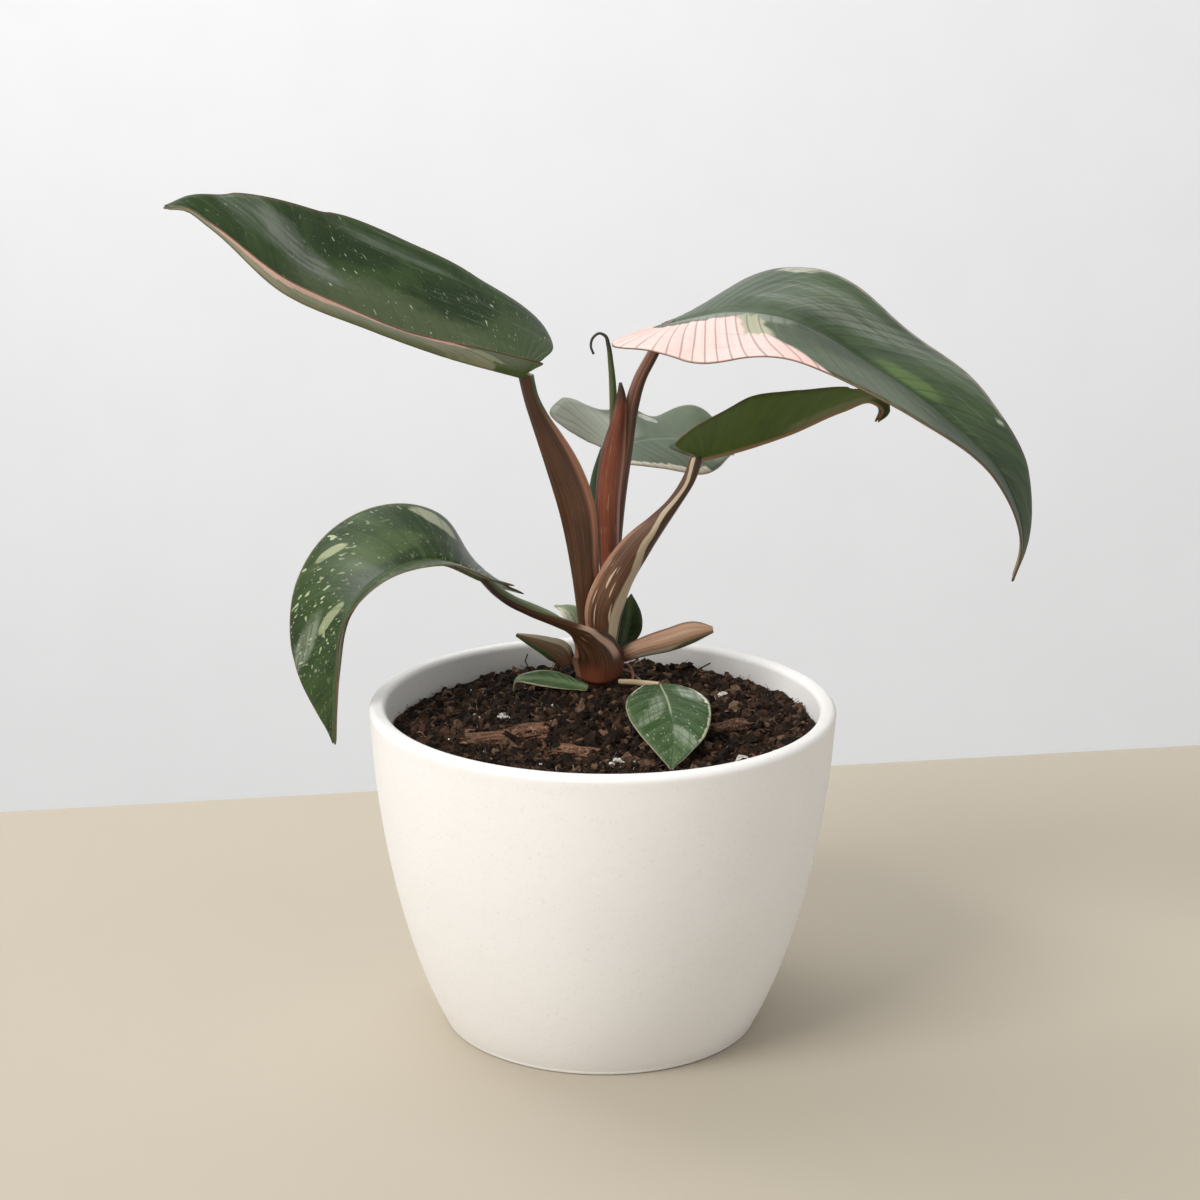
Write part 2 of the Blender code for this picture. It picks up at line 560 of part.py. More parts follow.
class Blade:
    """A leaf blade's curved surface: a midrib in space and two halves that rise from it."""

    def __init__(self, spec):
        self.spec = spec
        self.line = through(spec["midrib"], 200)
        steps = np.linalg.norm(np.diff(self.line, axis=0), axis=1)
        self.places = np.concatenate(([0.0], np.cumsum(steps)))
        self.length = self.places[-1]
        self.tangents = unit(np.gradient(self.line, self.places, axis=0))
        heading = math.radians(spec["heading"])
        self.level_left = np.array([-math.sin(heading), math.cos(heading), 0.0])

    def frame(self, s):
        """Points of the midrib at lengths s, with unit tangents, lefts and normals there."""
        point = np.stack([np.interp(s, self.places, self.line[:, k]) for k in range(3)], axis=-1)
        tangent = unit(np.stack([np.interp(s, self.places, self.tangents[:, k]) for k in range(3)], axis=-1))
        point = point + np.minimum(s, 0.0)[..., None] * self.tangents[0]
        normal = unit(np.cross(tangent, self.level_left))
        return point, tangent, np.cross(normal, tangent), normal

    def rise(self, side, s):
        """How steeply one half leaves the midrib at lengths s: a smooth curve through the list."""
        places, values = np.array(RISE_PLACES), np.array(self.spec[side]["rise"], dtype=float)
        slopes = np.gradient(values, places)
        at = np.clip(s / self.length, places[0], places[-1])
        first = np.clip(np.searchsorted(places, at, side="right") - 1, 0, len(places) - 2)
        span = places[first + 1] - places[first]
        t = (at - places[first]) / span
        return np.radians((2 * t**3 - 3 * t**2 + 1) * values[first] + (3 * t**2 - 2 * t**3) * values[first + 1]
                          + (t**3 - 2 * t**2 + t) * span * slopes[first] + (t**3 - t**2) * span * slopes[first + 1])

    def surface(self, s, w):
        """Points at length s and distance w from the midrib, w being positive on the left."""
        point, _, left, normal = self.frame(s)
        result = point.copy()
        for side, sign in (("left", 1.0), ("right", -1.0)):
            here = np.maximum(sign * w, 0.0)
            start = self.rise(side, s)
            bend = math.radians(self.spec[side]["arch"]) / self.spec[side]["width"]
            out = (np.sin(start + bend * here) - np.sin(start)) / bend
            up = (np.cos(start) - np.cos(start + bend * here)) / bend
            result += sign * out[..., None] * left + up[..., None] * normal
        return result

    def margin(self, side, u):
        """The edge of one half, at share u of its way from the lobe to the tip."""
        half = self.spec[side]
        outline = np.array(OUTLINES[half.get("outline", self.spec.get("outline", "heart"))])
        ahead = outline[:, 0] > 0
        push = math.log(half["widest"]) / math.log(OUTLINE_WIDEST)
        outline[ahead, 0] **= push
        outline[~ahead, 0] *= half["lobe"] / HEART_LOBE
        outline[:, 0] *= self.length
        outline[:, 1] *= half["width"]
        edge = through(np.column_stack([outline, np.zeros(len(outline))]), 200)
        share = np.linspace(0.0, 1.0, len(edge))
        return np.interp(u, share, edge[:, 0]), np.interp(u, share, edge[:, 1])

    def flat_place(self, u, v):
        """Length and distance from the midrib of a grid point. Lines of even u are veins."""
        left_s, left_w = self.margin("left", u)
        right_s, right_w = self.margin("right", u)
        start = 0.985 * self.length * u**VEIN_SWEEP
        reach = np.abs(v)
        s = start + (np.where(v > 0, left_s, right_s) - start) * reach**VEIN_CURVE
        return s, v * np.where(v > 0, left_w, right_w)

    def seat(self):
        """The joint's point and the direction square to the blade there."""
        point, _, left, normal = self.frame(np.array(0.0))
        tilt = (self.rise("left", 0.0) - self.rise("right", 0.0)) / 2
        return point, normal * math.cos(tilt) - left * math.sin(tilt)


def build_blade(name, spec, collection):
    blade = Blade(spec)
    bm = bmesh.new()
    bmesh.ops.create_grid(bm, x_segments=spec["rows"], y_segments=2 * spec["across"], size=1.0)
    grid = np.array([vertex.co for vertex in bm.verts])
    s, w = blade.flat_place((grid[:, 0] + 1.0) / 2, grid[:, 1])
    for vertex, place in zip(bm.verts, blade.surface(s, w) * MM):
        vertex.co = place
    bmesh.ops.triangulate(bm, faces=bm.faces)
    mesh = bpy.data.meshes.new(name)
    bm.to_mesh(mesh)
    bm.free()
    obj = add_object(name, mesh, collection)
    body = obj.modifiers.new("Body", "SOLIDIFY")
    body.thickness = BLADE_THICKNESS * MM
    body.offset = 0.0
    mesh.shade_smooth()
    paint(obj, spec["colour"], 0.4)


def build_stalk(name, spec, collection):
    """Loft a clasping, crescent or round section along a stalk's path."""
    stations = list(spec["stations"])
    if "blade" in spec:
        joint, square = Blade(BLADES[spec["blade"]]).seat()
        end = joint - square * (BLADE_THICKNESS / 2 + CLEARANCE)
        stations.append((*end, *stations[-1][3:]))
    rows = through(stations, spec.get("rings", STALK_RINGS))
    path = rows[:, :3]
    tangents = unit(np.gradient(path, axis=0))
    if "blade" in spec:
        tangents[-1] = square
    sides = unit(np.cross(tangents, (0.0, 1.0, 0.0)))
    depths = np.cross(sides, tangents)
    turn = np.radians(rows[:, 6])[:, None]
    across = sides * np.cos(turn) + depths * np.sin(turn)
    inward = depths * np.cos(turn) - sides * np.sin(turn)
    bm = bmesh.new()
    rings = []
    for row, centre, x_axis, y_axis in zip(rows, path, across, inward):
        ring = []
        for k in range(STALK_SIDES):
            angle = 2 * math.pi * k / STALK_SIDES
            x = row[3] / 2 * math.cos(angle)
            y = row[4] / 2 * math.sin(angle) + row[5] * math.cos(angle) ** 2
            ring.append(bm.verts.new((centre + x * x_axis + y * y_axis) * MM))
        rings.append(ring)
    for low, high in zip(rings, rings[1:]):
        for k in range(STALK_SIDES):
            after = (k + 1) % STALK_SIDES
            bm.faces.new((low[k], low[after], high[after], high[k]))
    bm.faces.new(rings[0][::-1])
    bm.faces.new(rings[-1])
    bmesh.ops.triangulate(bm, faces=bm.faces)
    bmesh.ops.recalc_face_normals(bm, faces=bm.faces)
    mesh = bpy.data.meshes.new(name)
    bm.to_mesh(mesh)
    bm.free()
    mesh.shade_smooth()
    mesh.set_sharp_from_angle(angle=math.radians(50))
    paint(add_object(name, mesh, collection), spec["colour"], 0.5)


def build_bark(name, spec, collection):
    """A rough flake that lies just clear of the soil, on the slope of the soil there."""
    bm = bmesh.new()
    bmesh.ops.create_cube(bm, size=2.0)
    bmesh.ops.subdivide_edges(bm, edges=bm.edges, cuts=3, use_grid_fill=True)
    turn = math.radians(spec["turn"])
    half = spec["half"]
    lift = 0.0
    for vertex in bm.verts:
        ragged = 1.0 + 0.22 * noise.noise(vertex.co * 1.7 + Vector((spec["turn"], 0.0, 0.0)))
        x, y = vertex.co.x * half[0] * ragged, vertex.co.y * half[1] * ragged
        world_x = spec["centre"][0] + x * math.cos(turn) - y * math.sin(turn)
        world_y = spec["centre"][1] + x * math.sin(turn) + y * math.cos(turn)
        height = soil_level(world_x, world_y) + vertex.co.z * half[2] * ragged
        lift = max(lift, soil_height(world_x, world_y) - height)
        vertex.co = Vector((world_x, world_y, height)) * MM
    bmesh.ops.translate(bm, verts=bm.verts, vec=(0.0, 0.0, (lift + CLEARANCE + 0.3) * MM))
    bmesh.ops.triangulate(bm, faces=bm.faces)
    mesh = bpy.data.meshes.new(name)
    bm.to_mesh(mesh)
    bm.free()
    paint(add_object(name, mesh, collection), BARK_COLOUR, 0.9)


def main():
    clear_scene()
    plant = new_collection("pink_princess_philodendron")
    cutters = new_collection("cutters")
    build_pot(plant)
    build_soil(plant, cutters)
    build_stem(plant)
    for name, spec in BLADES.items():
        build_blade(name, spec, plant)
    for name, spec in STALKS.items():
        build_stalk(name, spec, plant)
    for name, spec in BARK.items():
        build_bark(name, spec, plant)


main()
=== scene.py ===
import bpy
import bmesh
import math
import numpy as np
from mathutils import Matrix, Vector, noise
from mathutils.geometry import interpolate_bezier


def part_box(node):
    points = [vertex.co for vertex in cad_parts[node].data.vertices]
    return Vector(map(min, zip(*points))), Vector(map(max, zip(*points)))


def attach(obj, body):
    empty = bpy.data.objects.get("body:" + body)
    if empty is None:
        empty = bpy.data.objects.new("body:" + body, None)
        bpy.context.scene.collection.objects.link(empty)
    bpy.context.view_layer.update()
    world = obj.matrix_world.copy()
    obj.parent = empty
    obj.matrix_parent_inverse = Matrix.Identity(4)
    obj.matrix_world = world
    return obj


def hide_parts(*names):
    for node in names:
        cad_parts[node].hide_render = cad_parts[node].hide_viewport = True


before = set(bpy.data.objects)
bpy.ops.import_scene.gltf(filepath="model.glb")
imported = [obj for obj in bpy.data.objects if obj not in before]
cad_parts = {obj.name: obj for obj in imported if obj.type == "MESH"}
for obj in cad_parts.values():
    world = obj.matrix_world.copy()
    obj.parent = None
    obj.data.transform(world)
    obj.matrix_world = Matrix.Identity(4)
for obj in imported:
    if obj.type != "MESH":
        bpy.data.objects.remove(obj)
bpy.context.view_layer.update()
mm = 0.001
print("frame loaded:", len(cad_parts), "nodes")


class Wire:  # one node socket; sums on it are written as plain expressions
    def __init__(self, tree, socket=None):
        self.tree, self.socket = tree, socket

    def node(self, kind, settings=None, **values):
        made = self.tree.nodes.new(kind)
        for key, value in (settings or {}).items():
            if key == "stops":
                ramp = made.color_ramp.elements
                while len(ramp) < len(value):
                    ramp.new(0.5)
                for element, (place, colour) in zip(ramp, value):
                    element.position, element.color = place, (*colour, 1.0)
            else:
                setattr(made, key, value)
        for key, value in values.items():
            name, _, number = key.partition("_")
            fits = [s for s in made.inputs if s.enabled and s.name.replace(" ", "") == name]
            target = fits[int(number or 0)]
            if isinstance(value, Wire):
                self.tree.links.new(value.socket, target)
            elif isinstance(value, tuple) and len(value) == 3 and target.type == "RGBA":
                target.default_value = (*value, 1.0)
            else:
                target.default_value = value
        outs = [s for s in made.outputs if s.enabled]
        return Wire(self.tree, outs[0])

    def out(self, name):
        return Wire(self.tree, next(s for s in self.socket.node.outputs if s.name == name and s.enabled))

    def sum(self, operation, *terms):
        return self.node("ShaderNodeMath", {"operation": operation}, **{f"Value_{k}": term for k, term in enumerate(terms)})

    def __add__(self, other):
        return self.sum("ADD", self, other)

    def __radd__(self, other):
        return self.sum("ADD", other, self)

    def __sub__(self, other):
        return self.sum("SUBTRACT", self, other)

    def __rsub__(self, other):
        return self.sum("SUBTRACT", other, self)

    def __mul__(self, other):
        return self.sum("MULTIPLY", self, other)

    def __rmul__(self, other):
        return self.sum("MULTIPLY", other, self)

    def __truediv__(self, other):
        return self.sum("DIVIDE", self, other)

    def __rtruediv__(self, other):
        return self.sum("DIVIDE", other, self)

    def __neg__(self):
        return self.sum("MULTIPLY", self, -1.0)

    def __abs__(self):
        return self.sum("ABSOLUTE", self)

    def __pow__(self, other):
        return self.sum("POWER", self, other)

    def ramp(self, low, high, start=0.0, end=1.0):  # soft step from low to high
        return self.node("ShaderNodeMapRange", {"interpolation_type": "SMOOTHSTEP"}, Value=self,
                         FromMin=low, FromMax=high, ToMin=start, ToMax=end)

    def blend(self, under, over):  # self is the share of over
        return self.node("ShaderNodeMix", {"data_type": "RGBA"}, Factor=self, A=under, B=over)

    def joined(self, x, y, z=0.0):
        return self.node("ShaderNodeCombineXYZ", {}, X=x, Y=y, Z=z)

    def grain(self, place, scale, detail=2.0, roughness=0.5, distortion=0.0):
        return self.node("ShaderNodeTexNoise", {}, Vector=place, Scale=scale, Detail=detail,
                         Roughness=roughness, Distortion=distortion)


def newFinish(name):
    material = bpy.data.materials.new(name)
    material.use_nodes = True
    shader = material.node_tree.nodes["Principled BSDF"]
    return material, shader, Wire(material.node_tree)


def plug(shader, **values):  # sets or links the shader's own sockets
    for key, value in values.items():
        target = next(s for s in shader.inputs if s.name.replace(" ", "") == key)
        if isinstance(value, Wire):
            value.tree.links.new(value.socket, target)
        elif isinstance(value, tuple) and len(value) == 3 and target.type == "RGBA":
            target.default_value = (*value, 1.0)
        else:
            target.default_value = value


def gridMesh(name, layers, faces, materials, marks):
    # layers: rows of points in mm; marks: UV maps given for each vertex
    mesh = bpy.data.meshes.new(name)
    mesh.from_pydata((np.asarray(layers) * mm).tolist(), [], [f[0] for f in faces])
    mesh.polygons.foreach_set("material_index", [f[1] for f in faces])
    corner = np.empty(len(mesh.loops), dtype=np.int32)
    mesh.loops.foreach_get("vertex_index", corner)
    for label, rows in marks.items():
        mesh.uv_layers.new(name=label).data.foreach_set("uv", np.asarray(rows, float)[corner].ravel())
    for material in materials:
        mesh.materials.append(material)
    mesh.shade_smooth()
    made = bpy.data.objects.new(name, mesh)
    bpy.context.scene.collection.objects.link(made)
    return made


def throughRows(rows, count):  # a smooth curve through the rows, evenly spaced
    rows = np.array(rows, dtype=float)
    knots = np.concatenate(([0.0], np.cumsum(np.linalg.norm(np.diff(rows[:, :3], axis=0), axis=1))))
    slopes = np.gradient(rows, knots, axis=0)
    places = np.linspace(0.0, knots[-1], count)
    first = np.clip(np.searchsorted(knots, places, side="right") - 1, 0, len(rows) - 2)
    span = (knots[first + 1] - knots[first])[:, None]
    t = (places - knots[first])[:, None] / span
    return ((2 * t**3 - 3 * t**2 + 1) * rows[first] + (t**3 - 2 * t**2 + t) * span * slopes[first]
            + (3 * t**2 - 2 * t**3) * rows[first + 1] + (t**3 - t**2) * span * slopes[first + 1])


def toUnit(rows):
    return rows / np.maximum(np.linalg.norm(rows, axis=-1, keepdims=True), 1e-12)


def wander(values, seed):  # smooth noise along one number, about -1 to 1
    return np.array([noise.noise(Vector((float(x), seed, 0.37))) for x in np.ravel(values)]).reshape(np.shape(values))


def replaceNode(piece, node):
    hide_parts(node)
    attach(piece, "root")

leafForm = {
    "thickness": 0.7, "veinSweep": 2.0, "veinCurve": 1.35,
    "risePlaces": (-0.13, 0.0, 0.2, 0.4, 0.6, 0.8, 1.0),
    "heart": [(-0.08, 0.26), (-0.13, 0.50), (-0.09, 0.78), (0.05, 0.96), (0.22, 1.00), (0.42, 0.92),
              (0.60, 0.74), (0.76, 0.48), (0.88, 0.24), (0.95, 0.10), (1.00, 0.03)],
    "egg": [(-0.01, 0.12), (0.00, 0.30), (0.03, 0.56), (0.10, 0.82), (0.22, 1.00), (0.38, 0.97),
            (0.56, 0.78), (0.74, 0.48), (0.88, 0.23), (0.95, 0.10), (1.00, 0.03)],
    "eared": [(-0.05, 0.20), (-0.10, 0.42), (-0.13, 0.70), (-0.06, 0.87), (0.08, 0.96), (0.26, 1.00),
              (0.46, 0.97), (0.64, 0.90), (0.80, 0.74), (0.92, 0.45), (1.00, 0.04)],
    "heartLobe": 0.13, "outlineWidest": 0.22,
}


class LeafShape:  # the same surface as the leaf's solid: a midrib, and two halves that rise from it
    def __init__(self, spec):
        self.spec = spec
        self.line = throughRows(spec["midrib"], 200)
        steps = np.linalg.norm(np.diff(self.line, axis=0), axis=1)
        self.places = np.concatenate(([0.0], np.cumsum(steps)))
        self.length = self.places[-1]
        self.tangents = toUnit(np.gradient(self.line, self.places, axis=0))
        heading = math.radians(spec["heading"])
        self.levelLeft = np.array([-math.sin(heading), math.cos(heading), 0.0])

    def frameAt(self, s):
        point = np.stack([np.interp(s, self.places, self.line[:, k]) for k in range(3)], axis=-1)
        tangent = toUnit(np.stack([np.interp(s, self.places, self.tangents[:, k]) for k in range(3)], axis=-1))
        point = point + np.minimum(s, 0.0)[..., None] * self.tangents[0]
        normal = toUnit(np.cross(tangent, self.levelLeft))
        return point, tangent, np.cross(normal, tangent), normal

    def riseAt(self, side, s):
        places, values = np.array(leafForm["risePlaces"]), np.array(self.spec[side]["rise"], dtype=float)
        slopes = np.gradient(values, places)
        at = np.clip(s / self.length, places[0], places[-1])
        first = np.clip(np.searchsorted(places, at, side="right") - 1, 0, len(places) - 2)
        span = places[first + 1] - places[first]
        t = (at - places[first]) / span
        return np.radians((2 * t**3 - 3 * t**2 + 1) * values[first] + (3 * t**2 - 2 * t**3) * values[first + 1]
                          + (t**3 - 2 * t**2 + t) * span * slopes[first] + (t**3 - t**2) * span * slopes[first + 1])

    def surface(self, s, w):
        point, _, left, normal = self.frameAt(s)
        result = point.copy()
        for side, sign in (("left", 1.0), ("right", -1.0)):
            here = np.maximum(sign * w, 0.0)
            start = self.riseAt(side, s)
            bend = math.radians(self.spec[side]["arch"]) / self.spec[side]["width"]
            out = (np.sin(start + bend * here) - np.sin(start)) / bend
            up = (np.cos(start) - np.cos(start + bend * here)) / bend
            result += sign * out[..., None] * left + up[..., None] * normal
        return result

    def margin(self, side, u):
        half = self.spec[side]
        outline = np.array(leafForm[half.get("outline", self.spec.get("outline", "heart"))])
        ahead = outline[:, 0] > 0
        outline[ahead, 0] **= math.log(half["widest"]) / math.log(leafForm["outlineWidest"])
        outline[~ahead, 0] *= half["lobe"] / leafForm["heartLobe"]
        outline[:, 0] *= self.length
        outline[:, 1] *= half["width"]
        edge = throughRows(np.column_stack([outline, np.zeros(len(outline))]), 200)
        share = np.linspace(0.0, 1.0, len(edge))
        return np.interp(u, share, edge[:, 0]), np.interp(u, share, edge[:, 1])

    def flatPlace(self, u, v):  # lines of even u are veins
        leftS, leftW = self.margin("left", u)
        rightS, rightW = self.margin("right", u)
        start = 0.985 * self.length * u ** self.spec.get("sweep", leafForm["veinSweep"])
        s = start + (np.where(v > 0, leftS, rightS) - start) * np.abs(v) ** leafForm["veinCurve"]
        return s, v * np.where(v > 0, leftW, rightW)

    def seat(self):
        point, _, left, normal = self.frameAt(np.array(0.0))
        tilt = (self.riseAt("left", 0.0) - self.riseAt("right", 0.0)) / 2
        return point, normal * math.cos(tilt) - left * math.sin(tilt)


def makeBlade(name, spec, topFinish, underFinish, edgeFinish):
    shape = LeafShape(spec)
    rows, across = spec["grid"]
    rib, vein, wave = spec["rib"], spec.get("veinHeight", 0.10), spec.get("wave", 0.5)
    u = np.linspace(0.0, 1.0, rows)[:, None]
    t = np.linspace(-1.0, 1.0, 2 * across + 1)[None, :]
    v = t * (0.34 + 0.66 * t**2)  # closer lines by the midrib
    u, v = np.broadcast_arrays(u, v)
    s, w = shape.flatPlace(u, v)
    middle = shape.surface(s, w)
    normal = toUnit(np.cross(np.gradient(middle, axis=0), np.gradient(middle, axis=1)))
    along = np.clip(s / shape.length, 0.0, 1.0)
    veins = np.cos(2 * math.pi * u * spec.get("veins", 22)) * np.abs(v) ** 0.5 * (1 - np.abs(v) ** 4)
    lift = vein * veins * (1 - along**3)
    lift += wave * wander(u * 7.0 + np.where(v > 0, 0.0, 40.0), spec["seed"]) * np.abs(v) ** 3 * (1 - along**4)
    ribWidth = rib[0] * (1 - 0.75 * along)
    ridge = np.exp(-((w / ribWidth) ** 2)) * (s > -1.5 * rib[0]) * (1 - 0.85 * along)
    body = leafForm["thickness"] / 2 * np.clip((1 - np.abs(v)) * 9 + 0.45, 0.0, 1.0)
    middle = middle + lift[..., None] * normal
    top = middle + (body - 0.45 * rib[1] * ridge)[..., None] * normal
    under = middle - (body + rib[1] * ridge)[..., None] * normal
    high, wide = u.shape
    count = high * wide
    index = np.arange(count).reshape(high, wide)
    a, b, c, d = index[:-1, :-1].ravel(), index[1:, :-1].ravel(), index[1:, 1:].ravel(), index[:-1, 1:].ravel()
    faces = [(f, 0) for f in np.stack([a, b, c, d], axis=1).tolist()]
    faces += [(f, 1) for f in (np.stack([d, c, b, a], axis=1) + count).tolist()]
    ring = np.concatenate([index[:, 0], index[-1, 1:], index[-2::-1, -1], index[0, -2:0:-1]])
    after = np.roll(ring, -1)
    faces += [(f, 2) for f in np.stack([ring, ring + count, after + count, after], axis=1).tolist()]
    vein2 = np.stack([u, v], axis=-1).reshape(-1, 2)
    flat = np.stack([s, w], axis=-1).reshape(-1, 2) / 100
    piece = gridMesh(name, np.concatenate([top.reshape(-1, 3), under.reshape(-1, 3)]), faces,
                     [topFinish, underFinish, edgeFinish],
                     {"vein": np.concatenate([vein2, vein2]), "flat": np.concatenate([flat, flat])})
    return piece

leafLook = {"roughness": 0.42, "coat": 0.10, "coatRoughness": 0.30, "shine": 0.30, "fineVeins": 150.0, "mottle": 34.0}


def patchMask(w, u, v, patch, seed):  # a marking that runs along the veins, with torn steps
    tear = patch.get("torn", 0.25)
    across = w.grain(w.joined(u * 46.0, v * 1.2, seed), 1.0, 1.0) - 0.5
    along = w.grain(w.joined(u * 9.0, v * 7.0, seed + 3.1), 1.0, 2.0) - 0.5
    edge = patch.get("edge", 0.008)
    uu = u + along * (0.09 * tear) + v * patch.get("slant", 0.0)
    vv = v + across * tear + u * patch.get("rise", 0.0)
    (u0, u1), (v0, v1) = patch["u"], patch["v"]
    inside = uu.ramp(u0 - edge, u0 + edge) * (1.0 - uu.ramp(u1 - edge, u1 + edge))
    return inside * vv.ramp(v0 - 2 * edge, v0 + 2 * edge) * (1.0 - vv.ramp(v1 - 2 * edge, v1 + 2 * edge))


def areaMask(w, s, across, area, seed):  # a soft area at a place on the flat blade, in mm from joint and midrib
    turn, (spanS, spanW) = math.radians(area.get("turn", 0.0)), area["span"]
    ds, dw = s - area["at"][0], across - area["at"][1]
    p = (ds * math.cos(turn) + dw * math.sin(turn)) * (1 / spanS)
    q = (dw * math.cos(turn) - ds * math.sin(turn)) * (1 / spanW)
    ragged = w.grain(w.joined(s * 0.16, across * 0.30, seed), 1.0, 3.0, 0.6) - 0.5
    edge = area.get("edge", 0.75)
    return 1.0 - (p * p + q * q + ragged * area.get("torn", 1.2)).ramp(1.0 - edge, 1.0 + edge * 0.4)


def leafFinish(name, look, seed):
    material, shader, w = newFinish(name)
    place = w.node("ShaderNodeTexCoord").out("Object")
    uv = w.node("ShaderNodeSeparateXYZ", {}, Vector=w.node("ShaderNodeUVMap", {"uv_map": "vein"}))
    flat = w.node("ShaderNodeSeparateXYZ", {}, Vector=w.node("ShaderNodeUVMap", {"uv_map": "flat"}))
    u, v = uv, uv.out("Y")
    s, across = flat * 100.0, flat.out("Y") * 100.0
    side = v.ramp(-0.001, 0.001) * 5.0
    streak = w.grain(w.joined(u * leafLook["fineVeins"], v * 1.6, side + seed), 1.0, 2.0, 0.6)
    broad = w.grain(w.joined(u * 24.0, v * 1.1, side + seed + 7.0), 1.0, 2.0)
    mottle = w.grain(place, leafLook["mottle"], 3.0, 0.55)
    drawn = w.grain(w.joined(s * 0.045, across * 0.75, seed + 5.0), 1.0, 3.0, 0.6)
    wave = w.sum("COSINE", u * (2 * math.pi * look.get("lines", 24.0)) + (broad - 0.5) * 2.5)
    colour = (mottle * 0.65 + broad * 0.35).ramp(0.38, 0.62).blend(look["dark"], look["base"])
    colour = (streak.ramp(0.45, 0.78) * look.get("streaks", 0.35)).blend(colour, look["light"])
    # areas: soft patches of set colour; on some blades they are painted sheen and painted shade, and streaky breaks a
    # patch into lengthwise streaks
    for number, area in enumerate(look.get("areas", [])):
        soft = areaMask(w, s, across, area, seed + 31.0 + number) * area.get("share", 0.7)
        if area.get("streaky"):
            soft = soft * (drawn.ramp(0.40, 0.60) * area["streaky"] + (1.0 - area["streaky"]))
        colour = soft.blend(colour, area["colour"])
    for number, patch in enumerate(look.get("patches", [])):
        mask = patchMask(w, u, v, patch, seed + 11.0 * number)
        fine = w.grain(place, 900.0, 1.0).ramp(0.56, 0.68) * patch.get("speckle", 0.0)
        tone = (broad * 0.6 + mottle * 0.4).ramp(0.3, 0.7).blend(patch["colour"], patch.get("second", patch["colour"]))
        colour = (mask * patch.get("share", 1.0)).blend(colour, fine.blend(tone, patch.get("speckleColour", patch["colour"])))
    for number, fleck in enumerate(look.get("flecks", [])):
        field = w.grain(w.joined(u * fleck["across"], v * fleck["along"], side + seed + 20.0 + number), 1.0, 0.0)
        spot = field.ramp(fleck["cut"], fleck["cut"] + 0.025)
        gather = w.grain(place, 30.0, 1.0).ramp(0.40, 0.60)
        colour = (spot * (gather * 0.8 + 0.2) * fleck["share"]).blend(colour, fleck["colour"])
    sunk = (0.0 - wave).ramp(0.78, 0.99) * abs(v).ramp(0.02, 0.12) * look.get("lineShade", 0.25)
    colour = sunk.blend(colour, look["dark"])
    sheen = drawn.ramp(0.56, 0.74) * look.get("sheen", 0.0)
    colour = sheen.blend(colour, look.get("sheenColour", (0.16, 0.19, 0.14)))
    midrib = 1.0 - abs(across).ramp(look.get("ribWidth", 0.9) * 0.6, look.get("ribWidth", 0.9) * 1.6)
    if "ribLength" in look:
        midrib = midrib * (1.0 - s.ramp(look["ribLength"] - 6.0, look["ribLength"]))
    colour = (midrib * look.get("ribShare", 0.5)).blend(colour, look.get("ribColour", look["light"]))
    line = abs(v + (broad - 0.5) * 0.01).ramp(look.get("lineFrom", 0.978), look.get("lineFrom", 0.978) + 0.012)
    colour = (line * look.get("lineShare", 0.8)).blend(colour, look["line"])
    height = streak * 0.5 + w.grain(place, 2600.0, 2.0) * 0.22 + (broad * 0.6)
    bump = w.node("ShaderNodeBump", {}, Height=height, Strength=look.get("bump", 0.35), Distance=0.0004)
    rough = leafLook["roughness"] + look.get("rougher", 0.0) + (mottle - 0.5) * 0.16 + (streak - 0.5) * 0.10
    plug(shader, BaseColor=colour, Roughness=rough, Normal=bump, CoatWeight=look.get("coat", leafLook["coat"]),
         CoatRoughness=leafLook["coatRoughness"], SubsurfaceWeight=0.0, SpecularIORLevel=leafLook["shine"])
    return material


def edgeFinish(name, colour):
    material, shader, w = newFinish(name)
    place = w.node("ShaderNodeTexCoord").out("Object")
    tone = w.grain(place, 160.0, 2.0).ramp(0.35, 0.65).blend(colour, tuple(0.6 * c for c in colour))
    plug(shader, BaseColor=tone, Roughness=0.55)
    return material


green = {"base": (0.030, 0.062, 0.012), "dark": (0.010, 0.027, 0.004), "light": (0.090, 0.128, 0.048)}
leafEdge = edgeFinish("leafEdgeBrown", (0.16, 0.075, 0.035))
paleEdge = edgeFinish("leafEdgeCream", (0.55, 0.42, 0.28))

